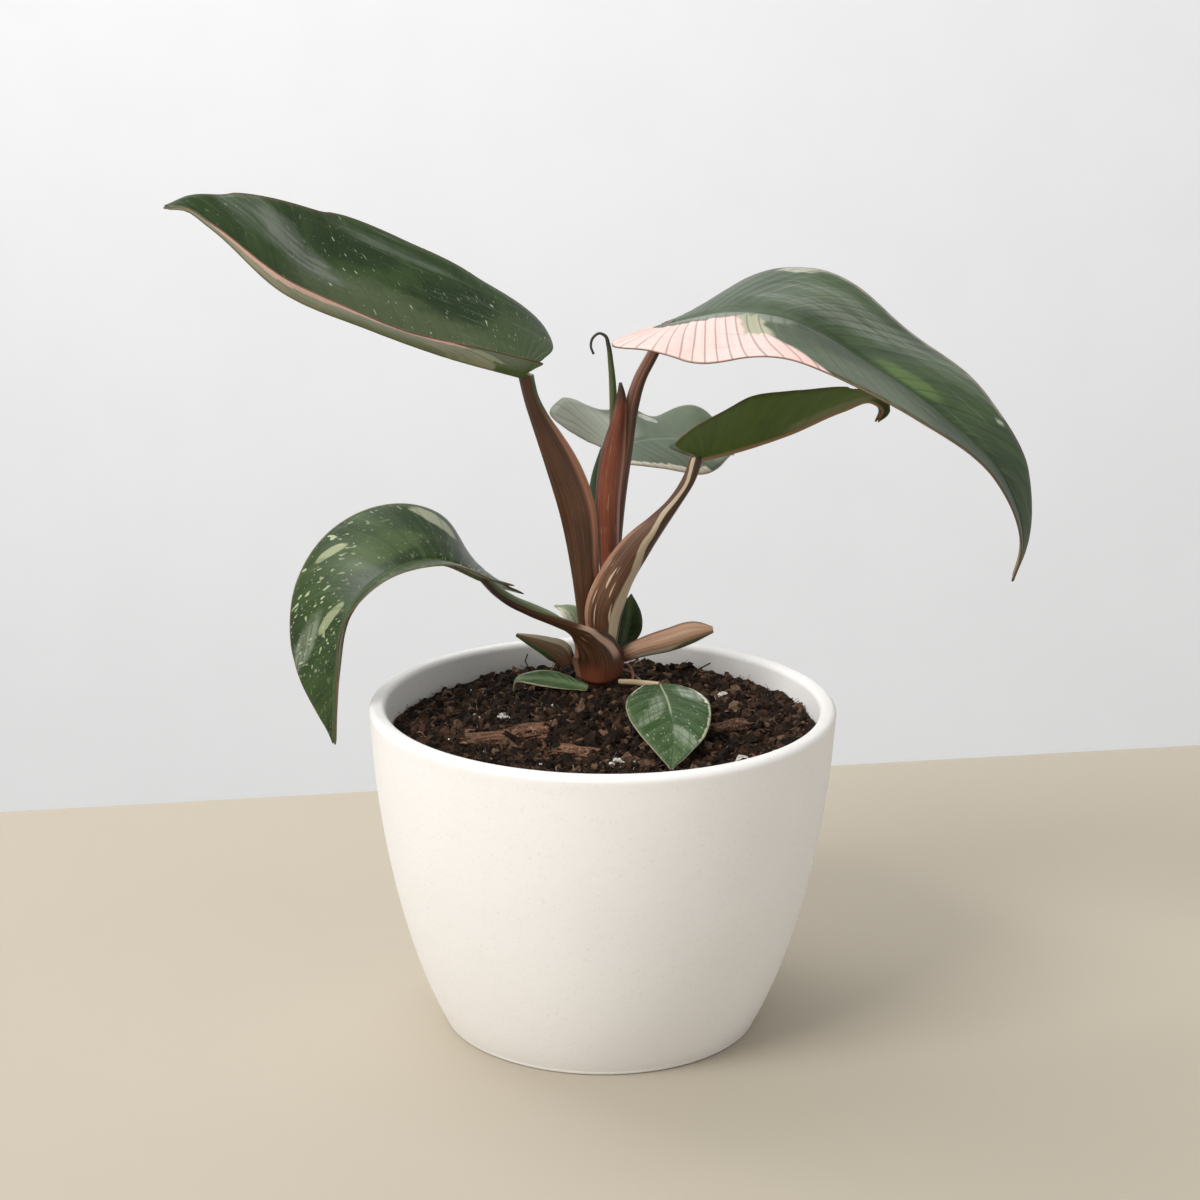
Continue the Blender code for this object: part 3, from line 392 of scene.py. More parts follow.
leaves = {
    "blade_upper_left": {
        "midrib": [
            (-25.7, 19, 209.8), (-48.7, 16, 216.2), (-74.4, 11, 226.0), (-100, 7, 237.4),
            (-122.2, 4, 257.8), (-129.5, 3, 263.0), (-136.0, 3, 263.3),
        ],
        "heading": -172,
        "left": {
            "width": 33, "lobe": 0.01, "widest": 0.30, "arch": -10,
            "rise": (22, 22, 20, 17, 19, 14, 10),
        },
        "right": {
            "width": 35, "lobe": 0.07, "widest": 0.40, "arch": -14,
            "rise": (23, 37, 53, 58, 66, 71, 36),
        },
        "seed": 1.3, "sweep": 2.6, "grid": (150, 34), "rib": (1.9, 1.5), "veins": 24, "wave": 0.5, "slot": "leaf_green",
        "top": {**green, "streaks": 0.22, "sheen": 0.30, "lineShade": 0.12,
                # areas: painted sheen and painted shade in place of the light off the puckered blade; the lighter
                # greens and the pale streaky bands are painted sheen, the darkest greens painted shade
                "areas": [{"at": (46, -7), "span": (40, 9), "share": 0.80, "colour": (0.088, 0.116, 0.052)},
                          {"at": (2, -13), "span": (16, 15), "share": 0.60, "colour": (0.062, 0.092, 0.034)},
                          {"at": (64, -23), "span": (19, 6), "turn": 8, "share": 0.92, "colour": (0.011, 0.032, 0.005)},
                          {"at": (24, -19), "span": (15, 7), "turn": 20, "share": 0.85, "colour": (0.011, 0.030, 0.005)},
                          {"at": (44, -31), "span": (26, 3.2), "share": 0.50, "colour": (0.014, 0.034, 0.006)},
                          {"at": (86, -13), "span": (22, 4.5), "turn": -6, "share": 0.80, "streaky": 0.6,
                           "colour": (0.215, 0.235, 0.205)},
                          {"at": (104, -12), "span": (16, 5), "share": 0.60, "streaky": 0.6, "colour": (0.150, 0.175, 0.135)},
                          {"at": (56, -29), "span": (30, 2.2), "share": 0.55, "streaky": 0.7, "colour": (0.130, 0.160, 0.120)}],
                "flecks": [{"across": 190.0, "along": 16.0, "cut": 0.785, "share": 0.85, "colour": (0.42, 0.46, 0.34)},
                           {"across": 330.0, "along": 60.0, "cut": 0.800, "share": 0.7, "colour": (0.36, 0.40, 0.30)}],
                "line": (0.10, 0.07, 0.03), "ribColour": (0.10, 0.15, 0.05), "ribShare": 0.25},
        "under": {"base": (0.34, 0.34, 0.22), "dark": (0.20, 0.23, 0.12), "light": (0.46, 0.45, 0.33),
                  "patches": [{"u": (-0.1, 0.37), "v": (-1.1, 1.2), "colour": (0.060, 0.115, 0.022),
                               "second": (0.095, 0.150, 0.045), "torn": 0.5},
                              {"u": (0.285, 0.355), "v": (0.25, 0.78), "colour": (0.34, 0.38, 0.22), "torn": 0.25},
                              {"u": (0.33, 0.90), "v": (0.70, 1.2), "colour": (0.88, 0.56, 0.47),
                               "second": (0.74, 0.46, 0.36), "torn": 0.30},
                              {"u": (0.55, 0.80), "v": (-1.2, 0.30), "colour": (0.13, 0.18, 0.07), "share": 0.6,
                               "torn": 0.6},
                              {"u": (0.90, 1.1), "v": (-1.1, 1.1), "colour": (0.33, 0.34, 0.22), "torn": 0.3}],
                  "line": (0.12, 0.05, 0.02), "ribColour": (0.10, 0.07, 0.03), "ribShare": 0.6, "rougher": 0.12,
                  "lineShade": 0.0},
    },
    "blade_upper_right": {
        "midrib": [
            (19.9, 19, 226.5), (40.1, 8, 232.3), (56.6, -2, 231.8), (80.8, -17, 220.0),
            (101.8, -31, 206.7), (118.5, -41, 190.6), (124.2, -46, 169.8), (121.8, -47, 160.5),
        ],
        "heading": -33,
        "left": {
            "width": 36, "lobe": 0.08, "widest": 0.24, "arch": -10,
            "rise": (-30, 8, 20, 10, 12, 7, -10),
        },
        "right": {
            "width": 36, "lobe": 0.055, "widest": 0.24, "arch": -8,
            "rise": (0, -4, -14, 6, 12, 20, 24),
        },
        "seed": 2.7, "grid": (170, 34), "rib": (1.9, 1.5), "veins": 30, "wave": 0.6, "slot": "leaf_green",
        "top": {**green, "streaks": 0.40, "lines": 34.0, "lineShade": 0.50, "sheen": 0.35,
                # areas: the pale grey-green patches at (24, -4), (50, 17) and (86, 24) are painted sheen; the others
                # are darker and brighter greens
                "areas": [{"at": (19, 15), "span": (22, 13), "share": 0.90, "colour": (0.014, 0.040, 0.007)},
                          {"at": (24, -4), "span": (24, 4.5), "share": 0.85, "colour": (0.190, 0.215, 0.165)},
                          {"at": (50, 17), "span": (28, 11), "turn": 10, "share": 0.70, "streaky": 0.55,
                           "colour": (0.170, 0.195, 0.150)},
                          {"at": (86, 24), "span": (26, 7), "share": 0.60, "streaky": 0.7, "colour": (0.150, 0.175, 0.130)},
                          {"at": (62, -4), "span": (17, 7), "share": 0.90, "colour": (0.012, 0.032, 0.006)},
                          {"at": (112, -9), "span": (24, 8), "share": 0.80, "colour": (0.012, 0.034, 0.006)},
                          {"at": (86, 4.5), "span": (13, 4), "share": 0.85, "colour": (0.080, 0.135, 0.030)},
                          {"at": (84, -21), "span": (24, 11), "share": 0.60, "streaky": 0.4, "colour": (0.100, 0.125, 0.075)}],
                "patches": [{"u": (-0.2, 0.400), "v": (-1.6, -0.40), "slant": 0.135, "rise": -0.62,
                             "colour": (0.78, 0.545, 0.500), "second": (0.76, 0.515, 0.470), "torn": 0.14, "speckle": 0.30,
                             "speckleColour": (0.70, 0.38, 0.33)},
                            {"u": (0.392, 0.452), "v": (-0.56, -0.12), "slant": 0.06, "colour": (0.40, 0.37, 0.26),
                             "second": (0.30, 0.31, 0.20), "torn": 0.4},
                            {"u": (0.285, 0.345), "v": (0.86, 1.2), "colour": (0.36, 0.355, 0.28), "torn": 0.14},
                            {"u": (0.30, 0.74), "v": (0.972, 1.2), "colour": (0.50, 0.46, 0.33), "torn": 0.04},
                            {"u": (0.754, 0.764), "v": (0.86, 0.92), "colour": (0.42, 0.43, 0.33), "torn": 0.1}],
                "line": (0.22, 0.12, 0.07), "ribColour": (0.030, 0.050, 0.018), "ribShare": 0.55, "ribWidth": 1.1},
        "under": {"base": (0.20, 0.24, 0.13), "dark": (0.12, 0.16, 0.07), "light": (0.34, 0.36, 0.24),
                  "patches": [{"u": (-0.2, 0.405), "v": (-1.2, 0.02), "slant": 0.135, "colour": (0.90, 0.70, 0.62),
                               "torn": 0.5},
                              {"u": (0.30, 0.43), "v": (0.74, 1.2), "colour": (0.60, 0.55, 0.42), "torn": 0.30}],
                  "line": (0.14, 0.06, 0.03), "ribColour": (0.30, 0.16, 0.10), "ribShare": 0.7, "rougher": 0.12},
    },
    "blade_right": {
        "midrib": [
            (29.4, 14, 184.0), (42.1, 20, 185.8), (59.8, 27, 190.1), (77.2, 33, 196.3),
            (87.0, 36, 198.4), (90.5, 37, 195.5), (88.5, 35.5, 192.0),
        ],
        "heading": 21,
        "left": {
            "width": 23, "lobe": 0.02, "widest": 0.24, "arch": -8,
            "rise": (5, 5, 8, 8, 8, 8, 0),
        },
        "right": {
            "width": 24, "lobe": 0.15, "widest": 0.24, "arch": -8,
            "rise": (48, 52, 58, 56, 52, 45, 30),
        },
        "seed": 3.9, "grid": (110, 26), "rib": (1.5, 1.2), "veins": 18, "wave": 0.4, "slot": "leaf_green",
        "top": {**green, "sheen": 0.0, "rougher": 0.2, "coat": 0.0, "line": (0.08, 0.05, 0.02), "ribShare": 0.3},
        "under": {"base": (0.074, 0.132, 0.012), "dark": (0.050, 0.096, 0.008), "light": (0.110, 0.170, 0.028),
                  "streaks": 0.25, "coat": 0.04, "rougher": 0.16, "lineShade": 0.22,
                  "areas": [{"at": (50, -2), "span": (22, 3.0), "share": 0.55, "colour": (0.22, 0.20, 0.13)},
                            {"at": (68, 0), "span": (6, 9), "share": 0.90, "colour": (0.026, 0.050, 0.010)}],
                  "line": (0.10, 0.06, 0.03), "ribColour": (0.30, 0.17, 0.09), "ribShare": 0.9, "ribWidth": 0.8},
    },
    "blade_back": {
        "midrib": [
            (0.3, 51, 178.5), (12.2, 55.5, 180.9), (26, 61, 180.4), (36.7, 65.5, 177.6),
            (43.8, 68.5, 173.6),
        ],
        "heading": 22,
        "left": {
            "width": 28, "lobe": 0.26, "widest": 0.26, "arch": -8, "outline": "eared",
            "rise": (46, 34, 17, 15, 10, 30, 30),
        },
        "right": {
            "width": 22, "lobe": 0.03, "widest": 0.42, "arch": -8,
            "rise": (0, 0, -8, -15, -20, -16, 0),
        },
        "seed": 4.4, "grid": (90, 24), "rib": (1.2, 0.9), "veins": 16, "wave": 0.4, "slot": "leaf_pale",
        "top": {"base": (0.105, 0.140, 0.090), "dark": (0.062, 0.094, 0.048), "light": (0.20, 0.24, 0.18),
                "rougher": 0.10, "streaks": 0.30, "lineShade": 0.30, "lines": 20.0,
                "areas": [{"at": (-2, 12), "span": (17, 16), "share": 0.97, "colour": (0.400, 0.425, 0.345), "torn": 0.7},
                          {"at": (28, 11), "span": (15, 13), "share": 0.75, "colour": (0.062, 0.090, 0.046)},
                          {"at": (38, -6), "span": (12, 9), "share": 0.60, "colour": (0.210, 0.245, 0.175)},
                          {"at": (22.5, 18), "span": (3.4, 4.2), "share": 0.92, "edge": 0.3, "torn": 1.0,
                           "colour": (0.43, 0.44, 0.37)}],
                "patches": [{"u": (0.16, 0.66), "v": (-1.2, -0.86), "colour": (0.66, 0.60, 0.48), "torn": 0.22}],
                "line": (0.35, 0.30, 0.20), "ribShare": 0.3},
        "under": {"base": (0.14, 0.19, 0.10), "dark": (0.09, 0.13, 0.06), "light": (0.24, 0.27, 0.18),
                  "line": (0.2, 0.14, 0.08), "rougher": 0.14},
    },
    "blade_lower_left": {
        "midrib": [
            (-39.3, 12, 144.6), (-53.2, 9, 150.6), (-67.6, 6, 147.8), (-81.1, 3, 135.3),
            (-85.1, 0, 116.2), (-86.0, -1, 103.4), (-86.3, -2, 92.2),
        ],
        "heading": -168,
        "left": {
            "width": 24, "lobe": 0.08, "widest": 0.24, "arch": -6,
            "rise": (18, 14, 14, 16, 14, 8, 4),
        },
        "right": {
            "width": 27, "lobe": 0.20, "widest": 0.32, "arch": -10,
            "rise": (-10, 6, 34, 46, 46, 54, 50),
        },
        "seed": 5.6, "grid": (120, 28), "rib": (1.5, 1.2), "veins": 20, "wave": 0.4, "slot": "leaf_green",
        "top": {**green, "streaks": 0.30, "sheen": 0.12,
                "flecks": [{"across": 150.0, "along": 12.0, "cut": 0.740, "share": 0.9, "colour": (0.40, 0.44, 0.27)},
                           {"across": 90.0, "along": 14.0, "cut": 0.760, "share": 0.85, "colour": (0.36, 0.40, 0.22)},
                           {"across": 300.0, "along": 50.0, "cut": 0.780, "share": 0.8, "colour": (0.38, 0.42, 0.28)}],
                "areas": [{"at": (41.4, -19.7), "span": (4.8, 1.5), "turn": -24, "share": 0.9, "edge": 0.35, "torn": 1.3,
                           "colour": (0.30, 0.33, 0.19)},
                          {"at": (54.0, -6.2), "span": (6.0, 1.5), "turn": -27, "share": 0.9, "edge": 0.35, "torn": 1.3,
                           "colour": (0.28, 0.32, 0.18)},
                          {"at": (14.5, -20.5), "span": (7.0, 2.8), "turn": -38, "share": 0.9, "edge": 0.4,
                           "colour": (0.33, 0.35, 0.24)},
                          # painted sheen: a pale streaky band
                          {"at": (64, -14), "span": (12, 3.6), "turn": -20, "share": 0.85, "streaky": 0.6,
                           "colour": (0.200, 0.235, 0.165)},
                          {"at": (30, -10), "span": (12, 6), "share": 0.5, "colour": (0.070, 0.110, 0.030)}],
                "line": (0.16, 0.13, 0.06), "ribShare": 0.35, "ribColour": (0.12, 0.17, 0.06)},
        "under": {"base": (0.13, 0.17, 0.07), "dark": (0.08, 0.12, 0.04), "light": (0.26, 0.28, 0.15),
                  "flecks": [{"across": 100.0, "along": 5.0, "cut": 0.72, "share": 0.8, "colour": (0.5, 0.5, 0.32)}],
                  "line": (0.2, 0.12, 0.06), "ribColour": (0.22, 0.15, 0.08), "ribShare": 0.8, "rougher": 0.12},
    },
    "blade_front": {
        "midrib": [
            (18.4, 0, 112.2), (20.6, -12, 110.4), (22.0, -27, 105.6), (21.2, -45, 99.3),
        ],
        "heading": -86, "outline": "egg",
        "left": {
            "width": 12.6, "lobe": 0.0, "widest": 0.32, "arch": -8,
            "rise": (8, 8, 10, 10, 8, 6, 4),
        },
        "right": {
            "width": 14.0, "lobe": 0.0, "widest": 0.32, "arch": -8,
            "rise": (8, 8, 10, 10, 8, 6, 4),
        },
        "seed": 6.2, "grid": (80, 22), "rib": (0.7, 0.45), "veins": 11, "wave": 0.7, "veinHeight": 0.28,
        "slot": "leaf_pale",
        "top": {"base": (0.046, 0.094, 0.026), "dark": (0.020, 0.054, 0.010), "light": (0.20, 0.26, 0.15),
                "streaks": 0.40, "bump": 0.6, "lines": 11.0, "lineShade": 0.45,
                "flecks": [{"across": 60.0, "along": 12.0, "cut": 0.73, "share": 0.7, "colour": (0.40, 0.46, 0.32)}],
                # areas: painted sheen, pale streaky patches on the puckered blade
                "areas": [{"at": (10, 8), "span": (8, 3.0), "turn": 40, "share": 0.8, "streaky": 0.6, "colour": (0.30, 0.35, 0.27)},
                          {"at": (20, -6), "span": (9, 2.4), "turn": -35, "share": 0.7, "streaky": 0.6, "colour": (0.26, 0.31, 0.22)},
                          {"at": (32, 4), "span": (8, 2.6), "turn": 30, "share": 0.7, "streaky": 0.6, "colour": (0.28, 0.33, 0.24)},
                          {"at": (12, -3), "span": (6, 2.4), "turn": -30, "share": 0.6, "streaky": 0.6, "colour": (0.28, 0.33, 0.24)}],
                "patches": [{"u": (0.02, 0.40), "v": (0.88, 1.2), "colour": (0.74, 0.70, 0.56), "torn": 0.2},
                            {"u": (0.02, 0.26), "v": (-1.2, -0.90), "colour": (0.60, 0.58, 0.42), "torn": 0.2},
                            {"u": (0.10, 0.72), "v": (0.95, 1.2), "colour": (0.56, 0.56, 0.40), "torn": 0.1}],
                "line": (0.32, 0.33, 0.20), "ribColour": (0.36, 0.41, 0.27), "ribShare": 0.8, "ribWidth": 0.32,
                "ribLength": 22.0},
        "under": {"base": (0.16, 0.22, 0.10), "dark": (0.10, 0.15, 0.06), "light": (0.3, 0.34, 0.2),
                  "line": (0.4, 0.36, 0.2), "rougher": 0.12},
    },
    "blade_low_left": {
        "midrib": [
            (-5.0, 11.5, 107.6), (-15.3, 12.5, 109.6), (-23.4, 14, 110.0), (-28.3, 15, 108.8),
            (-29.3, 15, 105.0),
        ],
        "heading": 175, "outline": "egg",
        "left": {
            "width": 3.6, "lobe": 0.05, "widest": 0.40, "arch": -10,
            "rise": (-25, -25, -25, -20, -20, -10, 0),
        },
        "right": {
            "width": 3.6, "lobe": 0.05, "widest": 0.40, "arch": 10,
            "rise": (35, 35, 35, 35, 30, 20, 10),
        },
        "seed": 7.1, "grid": (60, 12), "rib": (0.7, 0.4), "veins": 8, "wave": 0.25, "slot": "leaf_green",
        "top": {"base": (0.050, 0.100, 0.032), "dark": (0.028, 0.062, 0.016), "light": (0.16, 0.22, 0.10),
                "line": (0.34, 0.34, 0.18), "lineFrom": 0.90},
        "under": {"base": (0.10, 0.16, 0.06), "dark": (0.06, 0.10, 0.03), "light": (0.22, 0.28, 0.14),
                  "line": (0.34, 0.34, 0.18), "rougher": 0.1},
    },
    "blade_back_left": {
        "midrib": [(-7.0, 31, 117.5), (-8.8, 34, 122.4), (-11.8, 37, 126.4), (-16.4, 39, 127.8)],
        "heading": 150,
        "left": {
            "width": 7.0, "lobe": 0.08, "widest": 0.30, "arch": -6,
            "rise": (15, 15, 15, 15, 12, 10, 5),
        },
        "right": {
            "width": 7.0, "lobe": 0.08, "widest": 0.30, "arch": -6,
            "rise": (15, 15, 15, 15, 12, 10, 5),
        },
        "seed": 8.5, "grid": (50, 14), "rib": (0.7, 0.4), "veins": 8, "wave": 0.2, "slot": "leaf_pale",
        "top": {"base": (0.17, 0.22, 0.12), "dark": (0.10, 0.15, 0.06), "light": (0.30, 0.34, 0.22),
                "patches": [{"u": (0.1, 0.9), "v": (0.3, 1.2), "colour": (0.5, 0.5, 0.36), "torn": 0.5}],
                "line": (0.4, 0.38, 0.24)},
        "under": {"base": (0.17, 0.22, 0.12), "dark": (0.10, 0.15, 0.06), "light": (0.30, 0.34, 0.22),
                  "line": (0.4, 0.38, 0.24), "rougher": 0.1},
    },
    "blade_back_right": {
        "midrib": [(6.4, 31, 115.5), (7.6, 33, 120.0), (8.8, 34.5, 127.0), (9.2, 36, 133.0)],
        "heading": 80, "outline": "egg",
        "left": {
            "width": 5.4, "lobe": 0.08, "widest": 0.36, "arch": -6,
            "rise": (12, 12, 12, 12, 10, 8, 5),
        },
        "right": {
            "width": 5.0, "lobe": 0.08, "widest": 0.36, "arch": -6,
            "rise": (12, 12, 12, 12, 10, 8, 5),
        },
        "seed": 9.2, "grid": (50, 14), "rib": (0.6, 0.35), "veins": 8, "wave": 0.2, "slot": "leaf_green",
        "top": {**green, "line": (0.08, 0.06, 0.02)},
        "under": {"base": (0.045, 0.085, 0.012), "dark": (0.026, 0.055, 0.008), "light": (0.09, 0.13, 0.03),
                  "line": (0.08, 0.06, 0.02), "rougher": 0.1},
    },
}

bladePieces = {}
for name, spec in leaves.items():
    top = leafFinish(name + "Top", spec["top"], spec["seed"])
    under = leafFinish(name + "Under", spec["under"], spec["seed"])
    rim = paleEdge if spec["slot"] == "leaf_pale" else leafEdge
    bladePieces[name] = makeBlade("leaf_" + name, spec, top, under, rim)
    replaceNode(bladePieces[name], name)
print("leaf blades made:", len(bladePieces))

# x, y, z, width, thickness, wrap and turn along each, as its solid has them
stalks = {
    "petiole_upper_left": {
        "blade": "blade_upper_left",
        "stations": [
            (-4.5, 22.0, 117.5, 6.0, 3.0, 0.4, 0), (-5.0, 21.5, 132.0, 8.0, 3.2, 0.6, 0),
            (-6.5, 20.5, 148.0, 9.6, 3.4, 0.8, 0), (-8.8, 20.0, 165.0, 12.0, 3.4, 1.2, 0),
            (-13.9, 20.0, 180.0, 10.8, 3.4, 1.2, 0), (-17.6, 20.0, 188.0, 8.6, 3.4, 1.0, 0),
            (-20.8, 20.0, 194.5, 6.4, 3.6, 0.6, 0), (-23.6, 19.6, 201.5, 5.0, 4.0, 0.3, 0),
        ],
        "slot": "stem_brown",
    },
    "petiole_upper_right": {
        "blade": "blade_upper_right",
        "stations": [
            (2.2, 26.8, 117.5, 4.0, 3.4, 0.0, 0), (2.0, 27.2, 135.0, 4.6, 3.8, 0.0, 0),
            (3.0, 27.4, 150.0, 5.0, 4.0, 0.0, 0), (4.4, 27.2, 167.0, 5.0, 4.0, 0.0, 0),
            (6.6, 26.6, 185.0, 5.0, 4.2, 0.0, 0), (8.3, 25.2, 198.0, 4.8, 4.2, 0.0, 0),
            (10.8, 23.2, 207.5, 4.2, 4.0, 0.0, 0), (15.0, 20.6, 216.5, 3.8, 3.6, 0.0, 0),
        ],
        "slot": "sheath_red",
    },
    "petiole_right": {
        "blade": "blade_right",
        "stations": [
            (0.0, 17.0, 117.5, 8.5, 2.2, 2.2, 0), (-0.2, 15.6, 124.0, 10.5, 2.4, 2.8, 0),
            (0.0, 14.6, 132.0, 12.4, 2.6, 3.0, 0), (3.6, 14.0, 143.0, 11.6, 2.8, 2.8, 0),
            (10.8, 13.4, 155.0, 9.6, 3.0, 2.0, 0), (16.9, 13.0, 162.6, 6.4, 3.4, 1.0, 0),
            (22.2, 13.0, 169.5, 4.4, 3.8, 0.2, 0), (27.2, 13.4, 178.0, 4.2, 3.8, 0.0, 0),
        ],
        "slot": "stem_brown",
    },
    "petiole_back": {
        "blade": "blade_back",
        "stations": [
            (-3.0, 27.4, 118.4, 3.2, 3.2, 0.0, 0), (-3.2, 36.0, 133.8, 3.4, 3.4, 0.0, 0),
            (-3.4, 44.0, 152.5, 3.6, 3.6, 0.0, 0), (-2.8, 50.0, 168.7, 3.8, 3.8, 0.0, 0),
        ],
        "slot": "stalk_green",
    },
    "petiole_lower_left": {
        "blade": "blade_lower_left",
        "stations": [
            (-1.5, 14.3, 108.6, 14.6, 1.8, 5.4, 0), (-1.5, 13.9, 113.5, 17.0, 1.8, 6.0, 0),
            (-2.6, 13.0, 119.0, 15.0, 1.9, 3.6, 0), (-7.2, 11.8, 125.0, 10.0, 2.4, 1.2, 35),
            (-14.6, 11.4, 129.8, 7.0, 3.6, 1.4, 75), (-23.5, 11.0, 134.0, 5.2, 4.2, 0.8, 90),
            (-29.6, 11.2, 136.8, 4.4, 4.0, 0.6, 90), (-34.8, 11.8, 140.3, 4.0, 3.6, 0.4, 90),
        ],
        "slot": "stem_brown",
    },
    "petiole_front": {
        "blade": "blade_front",
        "stations": [
            (5.6, 15.8, 108.6, 1.8, 1.6, 0.0, 0), (9.0, 11.0, 110.0, 1.9, 1.6, 0.0, 0),
            (13.4, 4.6, 111.6, 2.0, 1.6, 0.0, 0),
        ],
        "slot": "stalk_cream",
    },
    "petiole_back_left": {
        "blade": "blade_back_left",
        "stations": [(-8.2, 28.4, 106.2, 1.8, 1.6, 0.0, 0), (-7.9, 29.6, 112.5, 1.6, 1.6, 0.0, 0)],
        "slot": "stem_brown",
    },
    "petiole_back_right": {
        "blade": "blade_back_right",
        "stations": [(6.0, 29.4, 106.2, 1.8, 1.6, 0.0, 0), (6.2, 30.2, 111.5, 1.6, 1.6, 0.0, 0)],
        "slot": "stem_brown",
    },
    "sheath_new_leaf": {
        "stations": [
            (2.2, 20.4, 117.5, 3.6, 1.3, 0.6, 0), (1.8, 20.6, 135.0, 5.0, 1.5, 1.2, 0),
            (1.4, 20.6, 152.0, 6.8, 1.6, 2.4, 0), (1.0, 20.6, 168.0, 8.2, 1.6, 3.0, 0),
            (3.0, 20.8, 186.0, 7.4, 1.6, 2.8, 0), (4.4, 21.2, 195.0, 4.8, 1.5, 1.4, 0),
            (5.0, 21.6, 203.0, 2.8, 1.3, 0.5, 0), (4.7, 21.8, 206.8, 0.9, 0.8, 0.0, 0),
        ],
        "slot": "sheath_red",
    },
    "new_leaf": {
        "stations": [
            (1.5, 23.4, 117.5, 1.8, 1.8, 0.0, 0), (1.0, 23.7, 150.0, 2.4, 2.4, 0.0, 0),
            (1.6, 24.2, 175.0, 2.6, 2.4, 0.0, 0), (2.6, 25.0, 195.0, 2.6, 2.4, 0.0, 0),
            (2.3, 24.2, 204.5, 2.4, 2.0, 0.0, 0), (1.6, 22.2, 212.6, 1.9, 1.8, 0.0, 0),
            (0.7, 20.6, 219.2, 1.4, 1.4, 0.0, 0), (-0.2, 20.0, 222.0, 1.1, 1.1, 0.0, 0),
            (-2.0, 20.0, 222.9, 0.9, 0.9, 0.0, 0), (-4.1, 20.0, 221.5, 0.9, 0.9, 0.0, 0),
            (-4.8, 20.0, 218.6, 0.8, 0.8, 0.0, 0), (-3.9, 20.0, 216.2, 0.8, 0.8, 0.0, 0),
        ],
        "fine": 150, "slot": "stalk_green",
    },
    "bract_right": {
        "stations": [
            (6.0, 20.6, 115.8, 5.0, 1.8, 0.8, 0), (12.4, 18.8, 118.8, 6.6, 1.6, 1.8, 0),
            (21.6, 17.2, 122.0, 8.0, 1.6, 2.2, 0), (31.0, 17.0, 125.4, 6.4, 1.4, 1.6, 0),
            (35.8, 17.0, 126.2, 2.2, 1.0, 0.2, 0),
        ],
        "slot": "bract_pink",
    },
    "bract_left": {
        "stations": [
            (-11.6, 19.8, 113.4, 6.0, 1.6, 1.2, 0), (-14.4, 18.6, 117.0, 8.4, 1.6, 1.8, 0),
            (-18.6, 17.4, 119.6, 6.6, 1.6, 1.6, 0), (-23.8, 16.4, 122.2, 4.0, 1.4, 0.8, 0),
            (-28.4, 16.0, 124.2, 1.2, 1.0, 0.1, 0),
        ],
        "slot": "stem_brown",
    },
}
stalkForm = {"sides": 44, "rings": 90, "ribs": 9, "ribHeight": 0.10}


def makeStalk(name, spec, finish):
    stations = [list(row) for row in spec["stations"]]
    if "blade" in spec:
        joint, square = LeafShape(leaves[spec["blade"]]).seat()
        stations.append([*(joint + square * 0.30), *stations[-1][3:]])
    rings, sides = spec.get("fine", stalkForm["rings"]), stalkForm["sides"]
    rows = throughRows(stations, rings)
    path = rows[:, :3]
    tangents = toUnit(np.gradient(path, axis=0))
    if "blade" in spec:
        tangents[-1] = square
    sideways = toUnit(np.cross(tangents, (0.0, 1.0, 0.0)))
    depth = np.cross(sideways, tangents)
    turn = np.radians(rows[:, 6])[:, None]
    across = sideways * np.cos(turn) + depth * np.sin(turn)
    inward = depth * np.cos(turn) - sideways * np.sin(turn)
    angle = (math.pi / 2 + np.arange(sides) / sides * 2 * math.pi)[None, :]
    ribs = np.cos(angle * stalkForm["ribs"] + 1.2 * wander(np.arange(rings) * 0.05, spec["seed"])[:, None])
    swell = wander(np.arange(rings) * 0.09, spec["seed"] + 5)[:, None] * 0.06
    inset = -stalkForm["ribHeight"] * (0.5 + 0.5 * ribs) * np.clip(rows[:, 4:5] / 3.0, 0.2, 1.0)
    x = (rows[:, 3:4] / 2 + inset * 0.5) * np.cos(angle)
    y = (rows[:, 4:5] / 2 * (1 + swell - 0.03) + inset) * np.sin(angle) + rows[:, 5:6] * np.cos(angle) ** 2
    points = path[:, None] + x[..., None] * across[:, None] + y[..., None] * inward[:, None]
    index = np.arange(rings * sides).reshape(rings, sides)
    after = np.roll(index, -1, axis=1)
    faces = [(f, 0) for f in np.stack([index[:-1], after[:-1], after[1:], index[1:]], axis=-1).reshape(-1, 4).tolist()]
    faces += [(index[0, ::-1].tolist(), 0), (index[-1].tolist(), 0)]
    length = np.concatenate(([0.0], np.cumsum(np.linalg.norm(np.diff(path, axis=0), axis=1))))
    share = length / length[-1]
    girth = np.stack(np.broadcast_arrays(np.cos(angle), np.sin(angle)), axis=-1)
    girth = np.broadcast_to(girth, (rings, sides, 2)).reshape(-1, 2)
    run = np.stack(np.broadcast_arrays(length[:, None] / 100, share[:, None] + 0 * angle), axis=-1).reshape(-1, 2)
    piece = gridMesh(name, points.reshape(-1, 3), faces, [finish], {"girth": girth, "run": run})
    outward(piece)
    return piece


def outward(piece):
    bm = bmesh.new()
    bm.from_mesh(piece.data)
    bmesh.ops.recalc_face_normals(bm, faces=bm.faces)
    bm.to_mesh(piece.data)
    bm.free()


